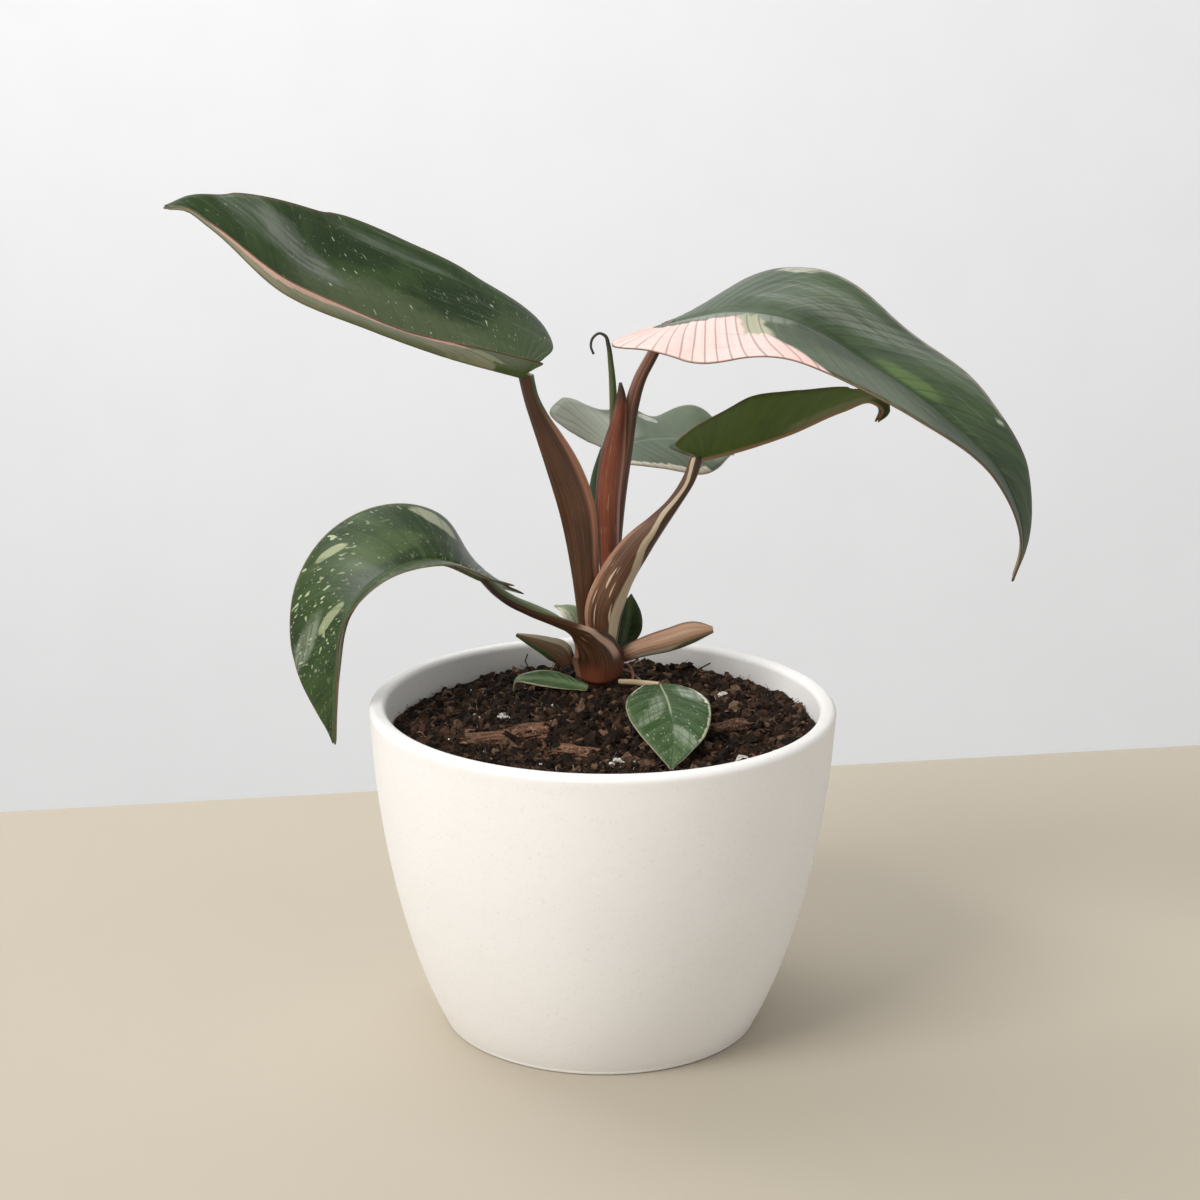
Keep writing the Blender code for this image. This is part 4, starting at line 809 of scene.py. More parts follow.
def stalkFinish(name, look, seed):  # lengthwise streaks, with zones by side and by height
    material, shader, w = newFinish(name)
    place = w.node("ShaderNodeTexCoord").out("Object")
    girth = w.node("ShaderNodeSeparateXYZ", {}, Vector=w.node("ShaderNodeUVMap", {"uv_map": "girth"}))
    run = w.node("ShaderNodeSeparateXYZ", {}, Vector=w.node("ShaderNodeUVMap", {"uv_map": "run"}))
    left, back = girth, girth.out("Y")
    along, share = run, run.out("Y")
    streak = w.grain(w.joined(left * 9.0, back * 9.0, along * 4.0 + seed), 1.0, 3.0, 0.6)
    line = w.grain(w.joined(left * 22.0, back * 22.0, along * 3.0 + seed + 4.0), 1.0, 2.0, 0.6)
    patchy = w.grain(place, 55.0, 3.0)
    colour = (streak * 0.6 + patchy * 0.4).ramp(0.36, 0.64).blend(look["dark"], look["base"])
    colour = (line.ramp(0.52, 0.70) * look.get("lines", 0.45)).blend(colour, look["light"])
    for zone in look.get("zones", []):
        mask = 1.0
        wobble = (streak - 0.5) * zone.get("torn", 0.3)
        for key, value in (("left", left), ("back", back), ("share", share)):
            if key in zone:
                low, high = zone[key]
                soft = zone.get("soft", 0.08)
                mask = mask * (value + wobble).ramp(low - soft, low + soft)
                mask = mask * (1.0 - (value + wobble).ramp(high - soft, high + soft))
        colour = (mask * zone.get("amount", 1.0)).blend(colour, zone["colour"])
    if "stripe" in look:  # a pale stripe that wanders round the stalk, and the tone on its right
        stripe = look["stripe"]
        centre = 0.0 * share + stripe["lefts"][0]
        for i in range(len(stripe["shares"]) - 1):
            centre = centre + share.ramp(*stripe["shares"][i:i + 2]) * (stripe["lefts"][i + 1] - stripe["lefts"][i])
        aside = left - centre + (streak - 0.5) * 0.16
        front = (1.0 - back.ramp(0.1, 0.5)) * share.ramp(*stripe["from"]) * (1.0 - share.ramp(*stripe["to"]))
        if "beyond" in stripe:
            colour = ((1.0 - aside.ramp(-0.35, -0.12)) * front * 0.85).blend(colour, stripe["beyond"])
        colour = ((1.0 - abs(aside).ramp(stripe["wide"], stripe["wide"] + 0.12)) * front * 0.92).blend(colour, stripe["colour"])
    for number, dash in enumerate(look.get("dashes", [])):
        field = w.grain(w.joined(left * dash["across"], back * dash["across"], along * dash["along"] + seed + number), 1.0, 0.0)
        spot = field.ramp(dash["cut"], dash["cut"] + 0.03)
        low, high = dash.get("share", (-1.0, 2.0))
        spot = spot * share.ramp(low - 0.03, low + 0.03) * (1.0 - share.ramp(high - 0.03, high + 0.03))
        colour = (spot * dash.get("amount", 0.9)).blend(colour, dash["colour"])
    height = line * 0.8 + streak * 0.5 + w.grain(place, 1900.0, 2.0) * 0.2
    bump = w.node("ShaderNodeBump", {}, Height=height, Strength=look.get("bump", 0.45), Distance=0.0005)
    rough = 0.42 + look.get("rougher", 0.0) + (streak - 0.5) * 0.2
    plug(shader, BaseColor=colour, Roughness=rough, Normal=bump, CoatWeight=look.get("coat", 0.10),
         CoatRoughness=0.30, SpecularIORLevel=0.42)
    return material


stalkLooks = {
    "petiole_upper_left": {
        "base": (0.100, 0.037, 0.013), "dark": (0.042, 0.015, 0.005), "light": (0.17, 0.080, 0.036),
        "zones": [{"left": (-1.2, -0.66), "share": (0.05, 0.84), "colour": (0.37, 0.17, 0.10), "soft": 0.12},
                  {"left": (-1.2, -0.93), "share": (0.15, 0.82), "colour": (0.46, 0.26, 0.16), "soft": 0.03},
                  {"left": (-1.2, -0.55), "share": (0.84, 1.2), "colour": (0.07, 0.10, 0.03)}]},
    "petiole_upper_right": {
        "base": (0.25, 0.115, 0.080), "dark": (0.10, 0.045, 0.025), "light": (0.42, 0.25, 0.19), "lines": 0.7,
        "zones": [{"left": (-1.2, -0.45), "share": (0.3, 1.2), "colour": (0.10, 0.045, 0.028)},
                  {"left": (0.10, 0.42), "colour": (0.10, 0.045, 0.03), "soft": 0.06, "amount": 0.7}]},
    "petiole_right": {
        "base": (0.145, 0.062, 0.028), "dark": (0.058, 0.022, 0.009), "light": (0.24, 0.12, 0.065),
        "zones": [{"left": (0.80, 1.2), "share": (0.0, 0.60), "colour": (0.34, 0.17, 0.10), "soft": 0.07}],
        "stripe": {"shares": (0.12, 0.40, 0.60, 0.74, 0.87, 0.98), "lefts": (-0.62, -0.80, -0.22, 0.32, 0.12, 0.45),
                   "wide": 0.20, "from": (0.02, 0.10), "to": (1.10, 1.20), "colour": (0.56, 0.45, 0.31),
                   "beyond": (0.055, 0.022, 0.009)},
        "dashes": [{"across": 9.0, "along": 9.0, "cut": 0.68, "share": (0.02, 0.42), "colour": (0.56, 0.44, 0.30)}]},
    "petiole_back": {
        "base": (0.040, 0.085, 0.025), "dark": (0.020, 0.045, 0.012), "light": (0.10, 0.15, 0.06)},
    "petiole_lower_left": {
        "base": (0.088, 0.036, 0.014), "dark": (0.034, 0.012, 0.005), "light": (0.17, 0.080, 0.036),
        "zones": [{"back": (0.1, 1.2), "share": (0.42, 1.2), "colour": (0.09, 0.12, 0.04)},
                  {"share": (-0.2, 0.09), "colour": (0.150, 0.036, 0.016), "soft": 0.05, "amount": 0.8},
                  {"left": (0.80, 1.2), "share": (0.0, 0.36), "colour": (0.26, 0.13, 0.08), "soft": 0.08}],
        "stripe": {"shares": (0.14, 0.24, 0.34), "lefts": (-0.76, -0.66, -0.92), "wide": 0.07, "from": (0.10, 0.16),
                   "to": (0.34, 0.40), "colour": (0.55, 0.36, 0.26)},
        "dashes": [{"across": 7.0, "along": 10.0, "cut": 0.73, "share": (0.30, 1.0), "colour": (0.36, 0.28, 0.16)}]},
    "petiole_front": {
        "base": (0.58, 0.46, 0.30), "dark": (0.40, 0.30, 0.17), "light": (0.70, 0.60, 0.44)},
    "petiole_back_left": {
        "base": (0.14, 0.10, 0.05), "dark": (0.07, 0.05, 0.02), "light": (0.24, 0.20, 0.12)},
    "petiole_back_right": {
        "base": (0.10, 0.09, 0.03), "dark": (0.05, 0.04, 0.015), "light": (0.18, 0.16, 0.07)},
    "sheath_new_leaf": {
        "base": (0.235, 0.056, 0.021), "dark": (0.112, 0.024, 0.008), "light": (0.36, 0.13, 0.070), "lines": 0.5,
        "zones": [{"left": (-1.2, -0.80), "share": (0.1, 0.95), "colour": (0.40, 0.18, 0.12), "soft": 0.07},
                  {"left": (0.80, 1.2), "share": (0.1, 0.95), "colour": (0.11, 0.035, 0.02), "soft": 0.08},
                  {"share": (0.93, 1.2), "colour": (0.05, 0.022, 0.012), "soft": 0.03}],
        "dashes": [{"across": 12.0, "along": 12.0, "cut": 0.74, "colour": (0.45, 0.28, 0.18), "amount": 0.6}]},
    "new_leaf": {
        "base": (0.080, 0.125, 0.040), "dark": (0.040, 0.075, 0.020), "light": (0.20, 0.25, 0.12), "lines": 0.6,
        "zones": [{"share": (0.855, 1.2), "colour": (0.035, 0.030, 0.018), "soft": 0.03},
                  {"left": (0.3, 1.2), "share": (0.5, 0.86), "colour": (0.16, 0.11, 0.05), "amount": 0.6}]},
    "bract_right": {
        "base": (0.42, 0.265, 0.165), "dark": (0.26, 0.130, 0.070), "light": (0.60, 0.42, 0.29), "lines": 0.55,
        "rougher": 0.15, "coat": 0.0,
        "zones": [{"left": (-0.86, -0.40), "share": (0.04, 0.60), "colour": (0.62, 0.52, 0.38), "soft": 0.06},
                  {"left": (-1.2, -0.60), "share": (0.56, 0.98), "colour": (0.11, 0.15, 0.05), "soft": 0.06},
                  {"left": (-1.2, -0.88), "colour": (0.14, 0.07, 0.035), "soft": 0.04},
                  {"left": (0.90, 1.2), "colour": (0.16, 0.075, 0.04), "soft": 0.04},
                  {"share": (-0.2, 0.12), "colour": (0.13, 0.055, 0.025), "soft": 0.08}]},
    "bract_left": {
        "base": (0.17, 0.095, 0.05), "dark": (0.08, 0.045, 0.02), "light": (0.34, 0.28, 0.17), "lines": 0.6,
        "rougher": 0.15, "coat": 0.0,
        "zones": [{"left": (-1.2, -0.50), "colour": (0.46, 0.39, 0.27), "soft": 0.08, "torn": 0.5},
                  {"left": (0.35, 1.2), "share": (0.30, 1.2), "colour": (0.065, 0.115, 0.030), "soft": 0.10},
                  {"left": (-0.62, -0.45), "colour": (0.09, 0.045, 0.02), "soft": 0.05, "amount": 0.7},
                  {"share": (-0.2, 0.14), "colour": (0.12, 0.05, 0.025), "soft": 0.08}]},
}
for number, (name, spec) in enumerate(stalks.items()):
    spec["seed"] = 3.0 + 1.7 * number
    piece = makeStalk("stalk_" + name, spec, stalkFinish(name + "Finish", stalkLooks[name], spec["seed"]))
    replaceNode(piece, name)
print("stalks made:", len(stalks))


class NodeTree:  # a Geometry Nodes tree with named inputs; Wire writes its nodes and sums
    def __init__(self, name, **inputs):
        self.tree = bpy.data.node_groups.new(name, "GeometryNodeTree")
        self.tree.interface.new_socket("Geometry", in_out="INPUT", socket_type="NodeSocketGeometry")
        self.names = {}
        kinds = {int: "NodeSocketInt", float: "NodeSocketFloat"}
        for key, value in inputs.items():
            self.names[key] = self.tree.interface.new_socket(key, in_out="INPUT", socket_type=kinds[type(value)]).identifier
        self.tree.interface.new_socket("Geometry", in_out="OUTPUT", socket_type="NodeSocketGeometry")
        self.source = self.tree.nodes.new("NodeGroupInput")
        self.values = inputs
        self.wire = Wire(self.tree, self.source.outputs["Geometry"])

    def given(self, name):
        return Wire(self.tree, self.source.outputs[name])

    def finish(self, geometry, material):
        real = geometry.node("GeometryNodeRealizeInstances", {}, Geometry=geometry)
        painted = real.node("GeometryNodeSetMaterial", {}, Geometry=real, Material=material)
        sink = self.tree.nodes.new("NodeGroupOutput")
        self.tree.links.new(painted.socket, sink.inputs["Geometry"])

    def make(self, name, base):  # runs the tree on an object and returns its plain mesh
        modifier = base.modifiers.new(name, "NODES")
        modifier.node_group = self.tree
        for key, value in self.values.items():
            modifier[self.names[key]] = value
        graph = bpy.context.evaluated_depsgraph_get()
        mesh = bpy.data.meshes.new_from_object(base.evaluated_get(graph))
        base.modifiers.remove(modifier)
        mesh.name = name
        made = bpy.data.objects.new(name, mesh)
        bpy.context.scene.collection.objects.link(made)
        return made


pot = {
    "height": 107.0, "rim": 75.0, "base": 50.7, "footHandle": (51.5, 0.0), "rimHandle": (72.0, 37.5),
    "wall": 5.4, "floor": 6.0, "lip": 2.0, "footRound": 1.4, "corner": 12.0, "segments": 240,
    "colour": (0.885, 0.868, 0.852), "speck": (0.74, 0.70, 0.65),
}


def potOuter(count):
    corners = [(pot["base"], 0.0), pot["footHandle"], pot["rimHandle"], (pot["rim"], pot["height"])]
    return np.array([tuple(p)[:2] for p in interpolate_bezier(*[Vector((r, h, 0.0)) for r, h in corners], count)])


outerCurve = potOuter(400)


def potRadius(height):
    return float(np.interp(height, outerCurve[:, 1], outerCurve[:, 0]))


def quarterRound(centre, size, start, steps=7):
    return [(centre[0] + size * math.cos(math.radians(start - 90 * i / steps)),
             centre[1] + size * math.sin(math.radians(start - 90 * i / steps))) for i in range(steps + 1)]


def turnedPiece(name, profile, segments, material):  # a Geometry Nodes lathe round Z
    mesh = bpy.data.meshes.new(name + "Profile")
    mesh.from_pydata([(r * mm, 0.0, h * mm) for r, h in profile], [], [])
    base = bpy.data.objects.new(name + "Profile", mesh)
    bpy.context.scene.collection.objects.link(base)
    nodes = NodeTree(name + "Lathe", segments=segments, rows=len(profile))
    w = nodes.wire
    grid = w.node("GeometryNodeMeshGrid", {}, SizeX=1.0, SizeY=1.0, VerticesX=nodes.given("segments") + 1.0,
                  VerticesY=nodes.given("rows"))
    place = w.node("ShaderNodeSeparateXYZ", {}, Vector=w.node("GeometryNodeInputPosition"))
    row = w.sum("ROUND", (place.out("Y") + 0.5) * (nodes.given("rows") - 1.0))
    point = w.node("GeometryNodeSampleIndex", {"data_type": "FLOAT_VECTOR", "domain": "POINT"}, Geometry=w,
                   Value=w.node("GeometryNodeInputPosition"), Index=row)
    outline = w.node("ShaderNodeSeparateXYZ", {}, Vector=point)
    angle = place * (2 * math.pi)
    moved = w.node("ShaderNodeCombineXYZ", {}, X=outline * w.sum("COSINE", angle), Y=outline * w.sum("SINE", angle),
                   Z=outline.out("Z"))
    turned = w.node("GeometryNodeSetPosition", {}, Geometry=grid, Position=moved)
    closed = w.node("GeometryNodeMergeByDistance", {}, Geometry=turned, Distance=0.00001)
    nodes.finish(w.node("GeometryNodeSetShadeSmooth", {}, Geometry=closed), material)
    piece = nodes.make(name, base)
    bpy.data.objects.remove(base, do_unlink=True)
    outward(piece)
    return piece


def potFinish():
    material, shader, w = newFinish("potMattWhite")
    place = w.node("ShaderNodeTexCoord").out("Object")
    cloud = w.grain(place, 14.0, 3.0)
    fine = w.grain(place, 520.0, 2.0, 0.6)
    dots = w.grain(place, 1100.0, 0.0).ramp(0.68, 0.76) * 0.30
    colour = cloud.ramp(0.35, 0.65).blend(pot["colour"], tuple(0.965 * c for c in pot["colour"]))
    colour = dots.blend(colour, pot["speck"])
    height = fine * 0.6 + w.grain(place, 160.0, 2.0) * 0.5 - dots * 0.5
    bump = w.node("ShaderNodeBump", {}, Height=height, Strength=0.30, Distance=0.0004)
    plug(shader, BaseColor=colour, Roughness=0.62 + (fine - 0.5) * 0.18, Normal=bump, SpecularIORLevel=0.38)
    return material


potTop = pot["height"] - pot["lip"]
innerLow = pot["floor"] + pot["corner"]
wallRows = [(potRadius(innerLow + (potTop - innerLow) * i / 24) - pot["wall"], innerLow + (potTop - innerLow) * i / 24)
            for i in range(25)]
cornerRadius = potRadius(innerLow) - pot["wall"]
profile = [(0.0, pot["floor"])]
profile += quarterRound((cornerRadius - pot["corner"], innerLow), pot["corner"], 0)[::-1] + wallRows[1:-1]
profile += quarterRound((pot["rim"] - pot["wall"] + pot["lip"], potTop), pot["lip"], 180)
profile += quarterRound((pot["rim"] - pot["lip"], potTop), pot["lip"], 90)
profile += [tuple(p) for p in potOuter(60)[::-1] if pot["footRound"] < p[1] < potTop - 1.0]
profile += quarterRound((potRadius(pot["footRound"]) - pot["footRound"], pot["footRound"]), pot["footRound"], 0)
profile.append((0.0, 0.0))
potPiece = turnedPiece("planter", profile, pot["segments"], potFinish())
replaceNode(potPiece, "pot")
print("planter turned:", len(potPiece.data.polygons), "faces")

soil = {
    "wallLevel": 97.3, "sideSlope": 0.027, "mound": 9.0, "spread": 24.0, "clearance": 0.4,
    "crumbHeight": 1.3, "crumbSize": 7.5, "rings": 110, "around": 330,
    "dark": (0.0055, 0.0026, 0.0011), "brown": (0.030, 0.0140, 0.0060), "rust": (0.080, 0.039, 0.019),
    "fibre": (0.150, 0.094, 0.052),
    "crumbs": 6400, "clumps": 900, "fibres": 1000, "chips": 480, "perlite": 60, "strands": 90,
}
stem = {"centre": (-1.0, 23.0), "radius": 7.2, "buried": 6.4, "foot": 80.0, "top": 117.0, "shoulder": 108.5}


def soilLevel(x, y):
    away = ((x - stem["centre"][0]) ** 2 + (y - stem["centre"][1] + 3.0) ** 2) / (2 * soil["spread"] ** 2)
    return soil["wallLevel"] + soil["sideSlope"] * x + soil["mound"] * math.exp(-away)


def soilHeight(x, y, fine=True):
    place = Vector((x / soil["crumbSize"], y / soil["crumbSize"], 3.7))
    crumbs = noise.noise(place) + 0.6 * noise.noise(place * 2.1)
    fromStem = math.hypot(x - stem["centre"][0], y - stem["centre"][1])
    calm = min(1.0, max(0.25, (fromStem - stem["radius"]) / 12.0))
    height = soilLevel(x, y) + soil["crumbHeight"] * crumbs * calm
    if fine:
        lumps = noise.noise(place * 4.3) * 0.55 + noise.noise(place * 9.0) * 0.30
        cells = noise.voronoi(place * 3.0)[0][0]
        height += calm * (lumps + 0.9 * (0.42 - cells))
    return height


def soilFinish(name, rust):
    material, shader, w = newFinish(name)
    place = w.node("ShaderNodeTexCoord").out("Object")
    coarse, middle, fine = w.grain(place, 90.0, 3.0), w.grain(place, 330.0, 3.0, 0.6), w.grain(place, 1300.0, 2.0)
    colour = middle.ramp(0.38, 0.62).blend(soil["dark"], soil["brown"])
    colour = (coarse.ramp(0.52, 0.66) * rust).blend(colour, soil["rust"])
    colour = (fine.ramp(0.60, 0.74) * 0.5).blend(colour, soil["fibre"])
    bump = w.node("ShaderNodeBump", {}, Height=middle * 1.2 + fine * 0.5, Strength=0.8, Distance=0.0012)
    plug(shader, BaseColor=colour, Roughness=0.86 + (fine - 0.5) * 0.2, Normal=bump, SpecularIORLevel=0.25)
    return material


def soilBody():
    rings, around = soil["rings"], soil["around"]
    heights = [h for _, h in wallRows]
    radius = float(np.interp(soil["wallLevel"], heights, [r for r, _ in wallRows])) - soil["clearance"]
    rows, points, faces = [], [], []
    for i in range(1, rings + 1):
        share = i / rings
        row = []
        for k in range(around):
            angle = 2 * math.pi * k / around
            x, y = radius * share * math.cos(angle), radius * share * math.sin(angle)
            row.append(len(points))
            points.append((x, y, soilHeight(x, y)))
        rows.append(row)
    for r, h in [(r, h) for r, h in wallRows[::-3] if h < soil["wallLevel"] - 5.0] + \
            [(cornerRadius - 4.0, pot["floor"] + 3.0), (cornerRadius - 12.0, pot["floor"])]:
        row = []
        for k in range(around):
            angle = 2 * math.pi * k / around
            row.append(len(points))
            points.append(((r - 0.4) * math.cos(angle), (r - 0.4) * math.sin(angle), h + 0.4))
        rows.append(row)
    for low, high in zip(rows, rows[1:]):
        for k in range(around):
            after = (k + 1) % around
            faces.append(((low[k], high[k], high[after], low[after]), 0))
    points += [(0.0, 0.0, soilHeight(0.0, 0.0)), (0.0, 0.0, pot["floor"] + 0.4)]
    for k in range(around):
        after = (k + 1) % around
        faces.append(((rows[0][k], rows[0][after], len(points) - 2), 0))
        faces.append(((rows[-1][after], rows[-1][k], len(points) - 1), 0))
    piece = gridMesh("potting_soil", points, faces, [soilFinish("soilDark", 0.45)], {})
    outward(piece)
    return piece


def lump(name, seed, size, cuts=2, rough=0.35, bend=0.0):  # a small stone, chip or strand to scatter
    bm = bmesh.new()
    if cuts:
        bmesh.ops.create_icosphere(bm, subdivisions=cuts, radius=1.0)
    else:
        bmesh.ops.create_cone(bm, segments=5, radius1=0.55, radius2=0.3, depth=2.0, cap_ends=True)
        bmesh.ops.rotate(bm, verts=bm.verts, matrix=Matrix.Rotation(math.pi / 2, 3, "Y"))
        long = [e for e in bm.edges if abs(e.verts[0].co.x - e.verts[1].co.x) > 1.0]
        bmesh.ops.subdivide_edges(bm, edges=long, cuts=4)
    for vertex in bm.verts:
        shift = noise.noise_vector(vertex.co * 1.3 + Vector((seed, seed * 2.0, 0.0)))
        vertex.co += shift * rough
        vertex.co = Vector((vertex.co.x * size[0], vertex.co.y * size[1], vertex.co.z * size[2])) * mm
        vertex.co.z += bend * mm * (vertex.co.x / (size[0] * mm)) ** 2
        vertex.co.y += bend * mm * 0.6 * math.sin(2.2 * vertex.co.x / (size[0] * mm) + seed)
    mesh = bpy.data.meshes.new(name)
    bm.to_mesh(mesh)
    bm.free()
    return bpy.data.objects.new(name, mesh)


def scatter(name, ground, shapes, amount, seed, finish, tilt, small, large, near, shade=False):
    group = bpy.data.collections.new(name + "Shapes")
    for shape in shapes:
        group.objects.link(shape)
    nodes = NodeTree(name + "Scatter", amount=amount, seed=seed, smallest=small, largest=large, tilt=tilt)
    w = nodes.wire
    place = w.node("ShaderNodeSeparateXYZ", {}, Vector=w.node("GeometryNodeInputPosition"))
    fromStem = w.sum("SQRT", (place - stem["centre"][0] * mm) ** 2.0 + (place.out("Y") - stem["centre"][1] * mm) ** 2.0)
    radius = w.sum("SQRT", place ** 2.0 + place.out("Y") ** 2.0)
    level = place.out("Z")
    fits = w.sum("GREATER_THAN", fromStem, near * mm) * w.sum("LESS_THAN", radius, 0.0665) * w.sum("GREATER_THAN", level, 0.090)
    area = math.pi * 0.0665**2
    points = w.node("GeometryNodeDistributePointsOnFaces", {"distribute_method": "RANDOM"}, Mesh=w,
                    Density=nodes.given("amount") * (1.0 / area) * fits, Seed=nodes.given("seed"))
    source = w.node("GeometryNodeCollectionInfo", {}, Collection=group, SeparateChildren=True, ResetChildren=True)
    swing = w.node("FunctionNodeRandomValue", {"data_type": "FLOAT_VECTOR"}, Min=(-1.0, -1.0, -3.1416),
                   Max=(1.0, 1.0, 3.1416), Seed=nodes.given("seed") + 1.0)
    parts = w.node("ShaderNodeSeparateXYZ", {}, Vector=swing)
    turn = w.joined(parts * nodes.given("tilt"), parts.out("Y") * nodes.given("tilt"), parts.out("Z"))
    size = w.node("FunctionNodeRandomValue", {"data_type": "FLOAT"}, Min=nodes.given("smallest"),
                  Max=nodes.given("largest"), Seed=nodes.given("seed") + 2.0)
    placed = w.node("GeometryNodeInstanceOnPoints", {}, Points=points, Instance=source, PickInstance=True,
                    Rotation=turn, Scale=size)
    tint = w.node("FunctionNodeRandomValue", {"data_type": "FLOAT"}, Min=0.0, Max=1.0, Seed=nodes.given("seed") + 3.0)
    marked = w.node("GeometryNodeStoreNamedAttribute", {"data_type": "FLOAT", "domain": "INSTANCE"}, Geometry=placed,
                    Name="tint", Value=tint)
    nodes.finish(marked, finish)
    piece = nodes.make(name, ground)
    for shape in shapes:
        bpy.data.objects.remove(shape, do_unlink=True)
    bpy.data.collections.remove(group)
    if shade:
        piece.data.shade_smooth()
    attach(piece, "root")
    return piece


def scatterFinish(name, stops, roughness, scale=700.0, bumpSize=0.0006):  # each bit has its own tint
    material, shader, w = newFinish(name)
    place = w.node("ShaderNodeTexCoord").out("Object")
    tint = w.node("ShaderNodeAttribute", {"attribute_name": "tint"}).out("Fac")
    fine = w.grain(place, scale, 3.0, 0.6)
    tone = w.node("ShaderNodeValToRGB", {"stops": stops}, Fac=tint)
    colour = (fine.ramp(0.40, 0.66) * 0.6).blend(tone, tuple(0.35 * c for c in stops[0][1]))
    bump = w.node("ShaderNodeBump", {}, Height=fine, Strength=0.7, Distance=bumpSize)
    plug(shader, BaseColor=colour, Roughness=roughness, Normal=bump, SpecularIORLevel=0.25)
    return material


soilPiece = soilBody()
replaceNode(soilPiece, "soil")
print("soil raised:", len(soilPiece.data.polygons), "faces")
crumbFinish = scatterFinish("soilCrumb", [(0.0, (0.0065, 0.0032, 0.0015)), (0.55, (0.024, 0.0115, 0.005)),
                                          (0.88, (0.066, 0.032, 0.016)), (1.0, (0.20, 0.125, 0.075))], 0.9)
fibreFinish = scatterFinish("soilFibre", [(0.0, (0.018, 0.0085, 0.004)), (0.6, (0.062, 0.031, 0.015)),
                                          (1.0, (0.30, 0.20, 0.13))], 0.85)
chipFinish = scatterFinish("barkChip", [(0.0, (0.014, 0.006, 0.003)), (0.6, (0.060, 0.027, 0.013)),
                                        (1.0, (0.22, 0.115, 0.070))], 0.88, 260.0)
perliteFinish = scatterFinish("perlite", [(0.0, (0.62, 0.60, 0.55)), (1.0, (0.90, 0.88, 0.84))], 0.8, 900.0)
clumpShapes = [lump("clump%d" % i, 6.1 * i, (2.3, 1.8, 1.35), 2, 0.75) for i in range(6)]
scatter("soil_clumps", soilPiece, clumpShapes, soil["clumps"], 53, crumbFinish, 1.5, 0.55, 1.35, 12.0)
crumbShapes = [lump("crumb%d" % i, 3.1 * i, (1.0, 0.8, 0.7), 1, 0.5) for i in range(6)]
scatter("soil_crumbs", soilPiece, crumbShapes, soil["crumbs"], 11, crumbFinish, 1.5, 0.45, 1.7, 8.5)
fibreShapes = [lump("fibre%d" % i, 2.3 * i, (3.6, 0.20, 0.20), 0, 0.25, 0.5 + 0.25 * i) for i in range(6)]
scatter("soil_fibres", soilPiece, fibreShapes, soil["fibres"], 23, fibreFinish, 0.16, 0.5, 1.5, 10.5)
chipShapes = [lump("chip%d" % i, 4.7 * i, (2.5, 1.25, 0.55), 2, 0.45) for i in range(5)]
scatter("bark_chips", soilPiece, chipShapes, soil["chips"], 37, chipFinish, 0.6, 0.5, 1.5, 11.0)
perliteShapes = [lump("perlite%d" % i, 5.9 * i, (0.9, 0.75, 0.65), 2, 0.35) for i in range(4)]
scatter("perlite_grains", soilPiece, perliteShapes, soil["perlite"], 41, perliteFinish, 1.5, 0.35, 1.25, 11.0, True)


def strands(name, paths, thickness, finish):  # Geometry Nodes tubes along lines that lie on the soil
    mesh = bpy.data.meshes.new(name + "Lines")
    points = [tuple(c * mm for c in point) for path in paths for point in path]
    starts = np.cumsum([0] + [len(path) for path in paths])
    edges = [(int(a) + i, int(a) + i + 1) for a, path in zip(starts, paths) for i in range(len(path) - 1)]
    mesh.from_pydata(points, edges, [])
    tint = mesh.attributes.new("tint", "FLOAT", "POINT")
    tint.data.foreach_set("value", [(0.37 * i) % 1.0 for i, path in enumerate(paths) for _ in path])
    base = bpy.data.objects.new(name + "Lines", mesh)
    bpy.context.scene.collection.objects.link(base)
    nodes = NodeTree(name + "Tubes", thickness=thickness * mm)
    w = nodes.wire
    curve = w.node("GeometryNodeMeshToCurve", {}, Mesh=w)
    ring = w.node("GeometryNodeCurvePrimitiveCircle", {}, Resolution=6, Radius=nodes.given("thickness"))
    nodes.finish(w.node("GeometryNodeCurveToMesh", {}, Curve=curve, ProfileCurve=ring, FillCaps=True), finish)
    piece = nodes.make(name, base)
    bpy.data.objects.remove(base, do_unlink=True)
    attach(piece, "root")
    return piece


draw = np.random.default_rng(8)
strandPaths = []
while len(strandPaths) < soil["strands"]:
    angle, away = draw.uniform(0, 2 * math.pi), 64 * math.sqrt(draw.uniform(0.02, 1.0))
    x, y, heading = away * math.cos(angle), away * math.sin(angle), draw.uniform(0, 2 * math.pi)
    bendRate, lift, path = draw.uniform(-0.35, 0.35), draw.uniform(0.2, 1.6), []
    for i in range(int(draw.integers(7, 16))):
        path.append((x, y, soilHeight(x, y) + 0.3 + lift * math.sin(0.5 * i) ** 2))
        heading += bendRate + draw.normal(0, 0.16)
        x, y = x + 0.95 * math.cos(heading), y + 0.95 * math.sin(heading)
    outside = max(math.hypot(p[0], p[1]) for p in path) > 66.0
    if not outside and min(math.hypot(p[0] - stem["centre"][0], p[1] - stem["centre"][1]) for p in path) > 13.0:
        strandPaths.append(path)
strandPaths += [[(-25.5, 45.0, 100.5), (-25.0, 45.5, 103.5), (-26.4, 46.0, 106.2), (-25.6, 46.5, 108.6)],
                [(-22.0, 44.0, 100.5), (-23.4, 44.5, 103.0), (-25.0, 45.0, 104.6)],
                [(31.0, 46.0, 101.0), (33.0, 46.5, 104.0), (36.5, 47.0, 105.8)]]
strands("long_fibres", strandPaths, 0.24, fibreFinish)


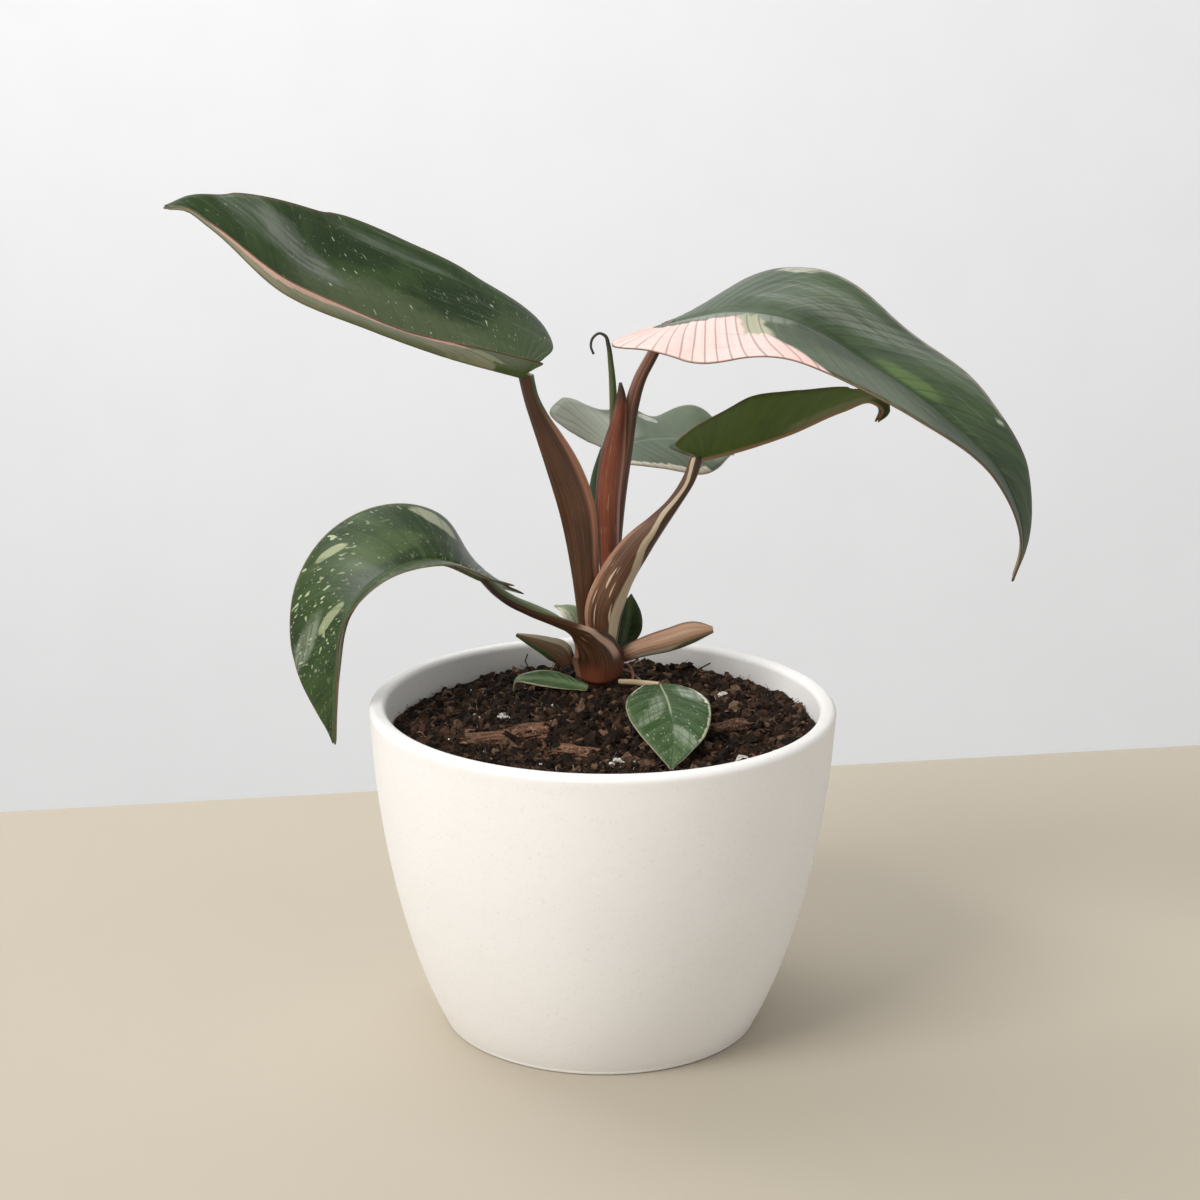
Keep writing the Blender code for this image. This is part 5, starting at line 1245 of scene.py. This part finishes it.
def settle(name, groups, finish, seed):  # a few grains at set places: x, y, spread, how many, size
    draw, bm = np.random.default_rng(seed), bmesh.new()
    for x, y, spread, amount, size in groups:
        for _ in range(amount):
            px, py, r = x + draw.normal(0, spread), y + draw.normal(0, spread), size * draw.uniform(0.45, 1.15)
            made = bmesh.ops.create_icosphere(bm, subdivisions=2, radius=1.0)["verts"]
            shift = Vector(draw.uniform(0, 50, 3))
            base = Vector((px, py, soilHeight(px, py) + 0.45 * r))
            for vertex in made:
                grain = vertex.co * (1 + 0.45 * noise.noise(vertex.co * 1.6 + shift))
                vertex.co = (base + Vector((grain.x * r, grain.y * r * 0.85, grain.z * r * 0.75))) * mm
    mesh = bpy.data.meshes.new(name)
    bm.to_mesh(mesh)
    bm.free()
    mesh.materials.append(finish)
    piece = bpy.data.objects.new(name, mesh)
    bpy.context.scene.collection.objects.link(piece)
    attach(piece, "root")


settle("perlite_clusters", [(-33.0, 6.0, 1.4, 7, 1.1), (-28.8, 15.0, 0.5, 3, 0.8), (-42.4, -26.0, 0.9, 4, 0.8),
                            (5.5, -36.5, 1.8, 8, 1.15), (43.0, -36.5, 1.0, 3, 2.1), (39.9, 24.0, 1.0, 3, 1.8)],
       perliteFinish, 4)
greenFinish = scatterFinish("greenBit", [(0.0, (0.035, 0.090, 0.022)), (1.0, (0.05, 0.11, 0.03))], 0.6)
settle("green_bits", [(11.5, 24.5, 0.5, 2, 1.2), (4.0, 9.5, 0.7, 3, 1.0)], greenFinish, 9)
print("soil dressed")

bark = {  # centre, half sizes, turn, as their solids
    "bark_flake_large": {"centre": (-31.0, -13.0), "half": (12.5, 4.0, 1.1), "turn": 6},
    "bark_flake_small": {"centre": (-8.0, -30.0), "half": (6.0, 3.2, 1.1), "turn": -25},
    "bark_flake_right": {"centre": (41.0, -6.0), "half": (6.5, 2.6, 1.0), "turn": 35},
}


def barkFinish():
    material, shader, w = newFinish("barkRed")
    place = w.node("ShaderNodeTexCoord").out("Object")
    turned = w.node("ShaderNodeMapping", {}, Vector=place, Scale=(90.0, 420.0, 300.0), Rotation=(0.0, 0.0, -0.1))
    layers, fine = w.grain(turned, 1.0, 3.0, 0.6), w.grain(place, 1100.0, 2.0)
    colour = layers.ramp(0.34, 0.62).blend((0.045, 0.018, 0.009), (0.200, 0.098, 0.056))
    colour = (fine.ramp(0.55, 0.70) * 0.7).blend(colour, (0.40, 0.25, 0.165))
    bump = w.node("ShaderNodeBump", {}, Height=layers * 1.4 + fine * 0.4, Strength=0.9, Distance=0.0009)
    plug(shader, BaseColor=colour, Roughness=0.84, Normal=bump, SpecularIORLevel=0.25)
    return material


def makeBark(name, spec, finish):
    bm = bmesh.new()
    bmesh.ops.create_cube(bm, size=2.0)
    bmesh.ops.subdivide_edges(bm, edges=bm.edges, cuts=26, use_grid_fill=True)
    turn, half = math.radians(spec["turn"]), spec["half"]
    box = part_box(name)
    for vertex in bm.verts:
        co = vertex.co.copy()
        ragged = 1.0 + 0.34 * noise.noise(co * 1.7 + Vector((spec["turn"], 0.0, 0.0)))
        fray = 1.0 + 0.12 * noise.noise(co * 6.0) + 0.10 * noise.noise(co * 15.0)
        x, y = co.x * half[0] * ragged * fray, co.y * half[1] * ragged * (fray + 0.05 * noise.noise(co * 4.0))
        worldX = spec["centre"][0] + x * math.cos(turn) - y * math.sin(turn)
        worldY = spec["centre"][1] + x * math.sin(turn) + y * math.cos(turn)
        steps = 0.5 * math.floor(3.5 * noise.noise(Vector((co.x * 1.8, co.y * 4.0, spec["turn"]))))
        height = soilLevel(worldX, worldY) + co.z * half[2] * ragged * (0.85 + 0.2 * steps * (co.z > 0))
        vertex.co = Vector((worldX, worldY, height)) * mm
    top = max(v.co.z for v in bm.verts)
    bmesh.ops.translate(bm, verts=bm.verts, vec=(0.0, 0.0, box[1][2] - top - 0.0012))
    mesh = bpy.data.meshes.new("flake_" + name)
    bm.to_mesh(mesh)
    bm.free()
    mesh.materials.append(finish)
    mesh.shade_smooth()
    piece = bpy.data.objects.new("flake_" + name, mesh)
    bpy.context.scene.collection.objects.link(piece)
    return piece


barkRed = barkFinish()
for name, spec in bark.items():
    replaceNode(makeBark(name, spec, barkRed), name)

stemLooks = {
    "base": (0.105, 0.042, 0.022), "dark": (0.035, 0.014, 0.008), "light": (0.20, 0.10, 0.06),
    "roots": [[(4.0, 23.5, 112.5), (8.6, 22.0, 112.0), (9.8, 18.6, 109.8), (9.2, 14.6, 107.8)],
              [(4.0, 24.5, 110.0), (8.4, 24.6, 109.2), (11.2, 22.6, 107.9), (12.6, 19.4, 107.6)]],
    "rootColour": (0.26, 0.10, 0.07),
}


def makeStem():
    rows = [(0.02, stem["top"]), (stem["radius"] - 1.2, stem["top"]), (stem["radius"] - 0.3, stem["top"] - 1.0),
            (stem["radius"], stem["top"] - 3.5), (stem["radius"] - 0.2, stem["shoulder"] + 1.5),
            (stem["buried"], stem["shoulder"]), (stem["buried"], 96.0),
            (stem["buried"] - 1.6, stem["foot"] + 3.0), (0.02, stem["foot"])]
    fine = throughRows([(r, h, 0.0) for r, h in rows], 80)
    around = 64
    angle = np.arange(around) / around * 2 * math.pi
    points = []
    for radius, height, _ in fine:
        bumps = np.array([noise.noise(Vector((math.cos(a) * 2.2, math.sin(a) * 2.2, height * 0.35))) for a in angle])
        ring = radius * (1 - 0.03 + 0.03 * bumps) if radius > 1 else np.full(around, radius)
        points.append(np.stack([stem["centre"][0] + ring * np.cos(angle), stem["centre"][1] + ring * np.sin(angle),
                                np.full(around, height)], axis=-1))
    index = np.arange(len(fine) * around).reshape(len(fine), around)
    after = np.roll(index, -1, axis=1)
    faces = [(f, 0) for f in np.stack([index[:-1], after[:-1], after[1:], index[1:]], axis=-1).reshape(-1, 4).tolist()]
    faces += [(index[0].tolist(), 0), (index[-1].tolist(), 0)]
    points = np.concatenate(points).tolist()
    for path in stemLooks["roots"]:
        rows = throughRows([(*p, 1.0) for p in path], 30)[:, :3]
        tangent = toUnit(np.gradient(rows, axis=0))
        side = toUnit(np.cross(tangent, (0.0, 0.0, 1.0)))
        up = np.cross(side, tangent)
        start = len(points)
        for i, (centre, a, b) in enumerate(zip(rows, side, up)):
            size = 0.62 * (1 - 0.45 * i / 29) * (1 + 0.12 * noise.noise(Vector((i * 0.5, path[0][2], 0.0))))
            for k in range(10):
                turn = 2 * math.pi * k / 10
                points.append(tuple(centre + size * (math.cos(turn) * a + math.sin(turn) * b)))
        index = start + np.arange(300).reshape(30, 10)
        after = np.roll(index, -1, axis=1)
        faces += [(f, 1) for f in np.stack([index[:-1], after[:-1], after[1:], index[1:]], axis=-1).reshape(-1, 4).tolist()]
        faces += [(index[0].tolist(), 1), (index[-1].tolist(), 1)]
    count = len(points)
    look = {**stemLooks}
    root = {"base": stemLooks["rootColour"], "dark": (0.13, 0.05, 0.03), "light": (0.40, 0.22, 0.16)}
    marks = {"girth": np.zeros((count, 2)), "run": np.zeros((count, 2))}
    piece = gridMesh("stem_stock", points, faces, [stalkFinish("stemStock", look, 1.0), stalkFinish("rootRed", root, 2.0)], marks)
    outward(piece)
    return piece


replaceNode(makeStem(), "stem")
print("stem and bark made")

stage = {
    "cameraPlace": (-1.2, -785.8, 356.75), "pitch": 15.38, "roll": 0.5, "lens": 76.8,
    "floor": (0.465, 0.415, 0.335), "wall": (0.835, 0.84, 0.845),
}


def stageSheet(name, corners, finish):
    mesh = bpy.data.meshes.new(name)
    mesh.from_pydata([tuple(c * mm for c in corner) for corner in corners], [], [tuple(range(len(corners)))])
    mesh.materials.append(finish)
    made = bpy.data.objects.new(name, mesh)
    bpy.context.scene.collection.objects.link(made)
    return made


def stageFinish(name, colour, roughness):
    material, shader, w = newFinish(name)
    place = w.node("ShaderNodeTexCoord").out("Object")
    tone = w.grain(place, 9.0, 2.0).ramp(0.3, 0.7).blend(colour, tuple(0.985 * c for c in colour))
    plug(shader, BaseColor=tone, Roughness=roughness, SpecularIORLevel=0.2)
    return material


stageSheet("floor", [(-2600, -1500, 0), (2600, -1500, 0), (2600, 734, 0), (-2600, -276, 0)],
           stageFinish("floorPale", stage["floor"], 0.7))
stageSheet("backdrop", [(-6000, 2600, -2500), (6000, 2600, -2500), (6000, 2600, 4000), (-6000, 2600, 4000)],
           stageFinish("backdropPale", stage["wall"], 0.9))
camera = bpy.data.objects.new("camera", bpy.data.cameras.new("camera"))
camera.data.lens, camera.data.sensor_width = stage["lens"], 36.0
camera.data.clip_start, camera.data.clip_end = 0.05, 20.0
aim = Matrix.Rotation(math.radians(90 - stage["pitch"]), 4, "X") @ Matrix.Rotation(math.radians(stage["roll"]), 4, "Z")
camera.matrix_world = Matrix.Translation(Vector(stage["cameraPlace"]) * mm) @ aim
bpy.context.scene.collection.objects.link(camera)
bpy.context.scene.camera = camera

lights = {  # place, size and power of each soft panel, and what it points at, in metres
    "key": {"place": (-1.12, -1.02, 1.40), "aim": (0.0, 0.0, 0.12), "size": 0.9, "power": 30.0, "colour": (1.0, 0.99, 0.975)},
    "fill": {"place": (1.5, -1.3, 0.9), "aim": (0.0, 0.0, 0.12), "size": 1.6, "power": 3.0, "colour": (1.0, 0.99, 0.97)},
    "wall": {"place": (-0.9, 1.1, 1.9), "aim": (0.1, 2.6, 0.5), "size": 2.2, "power": 42.0, "colour": (1.0, 1.0, 1.0)},
}
for name, spec in lights.items():
    data = bpy.data.lights.new(name, "AREA")
    data.shape, data.size, data.energy, data.color = "SQUARE", spec["size"], spec["power"], spec["colour"]
    panel = bpy.data.objects.new(name, data)
    panel.location = spec["place"]
    panel.rotation_euler = (Vector(spec["aim"]) - Vector(spec["place"])).to_track_quat("-Z", "Y").to_euler()
    bpy.context.scene.collection.objects.link(panel)
world = bpy.data.worlds.new("softRoom")
bpy.context.scene.world = world
world.use_nodes = True
world.node_tree.nodes["Background"].inputs["Color"].default_value = (1.0, 0.995, 0.985, 1.0)
world.node_tree.nodes["Background"].inputs["Strength"].default_value = 0.58
bpy.context.scene.view_settings.view_transform = "Standard"
print("stage, camera and lights set")
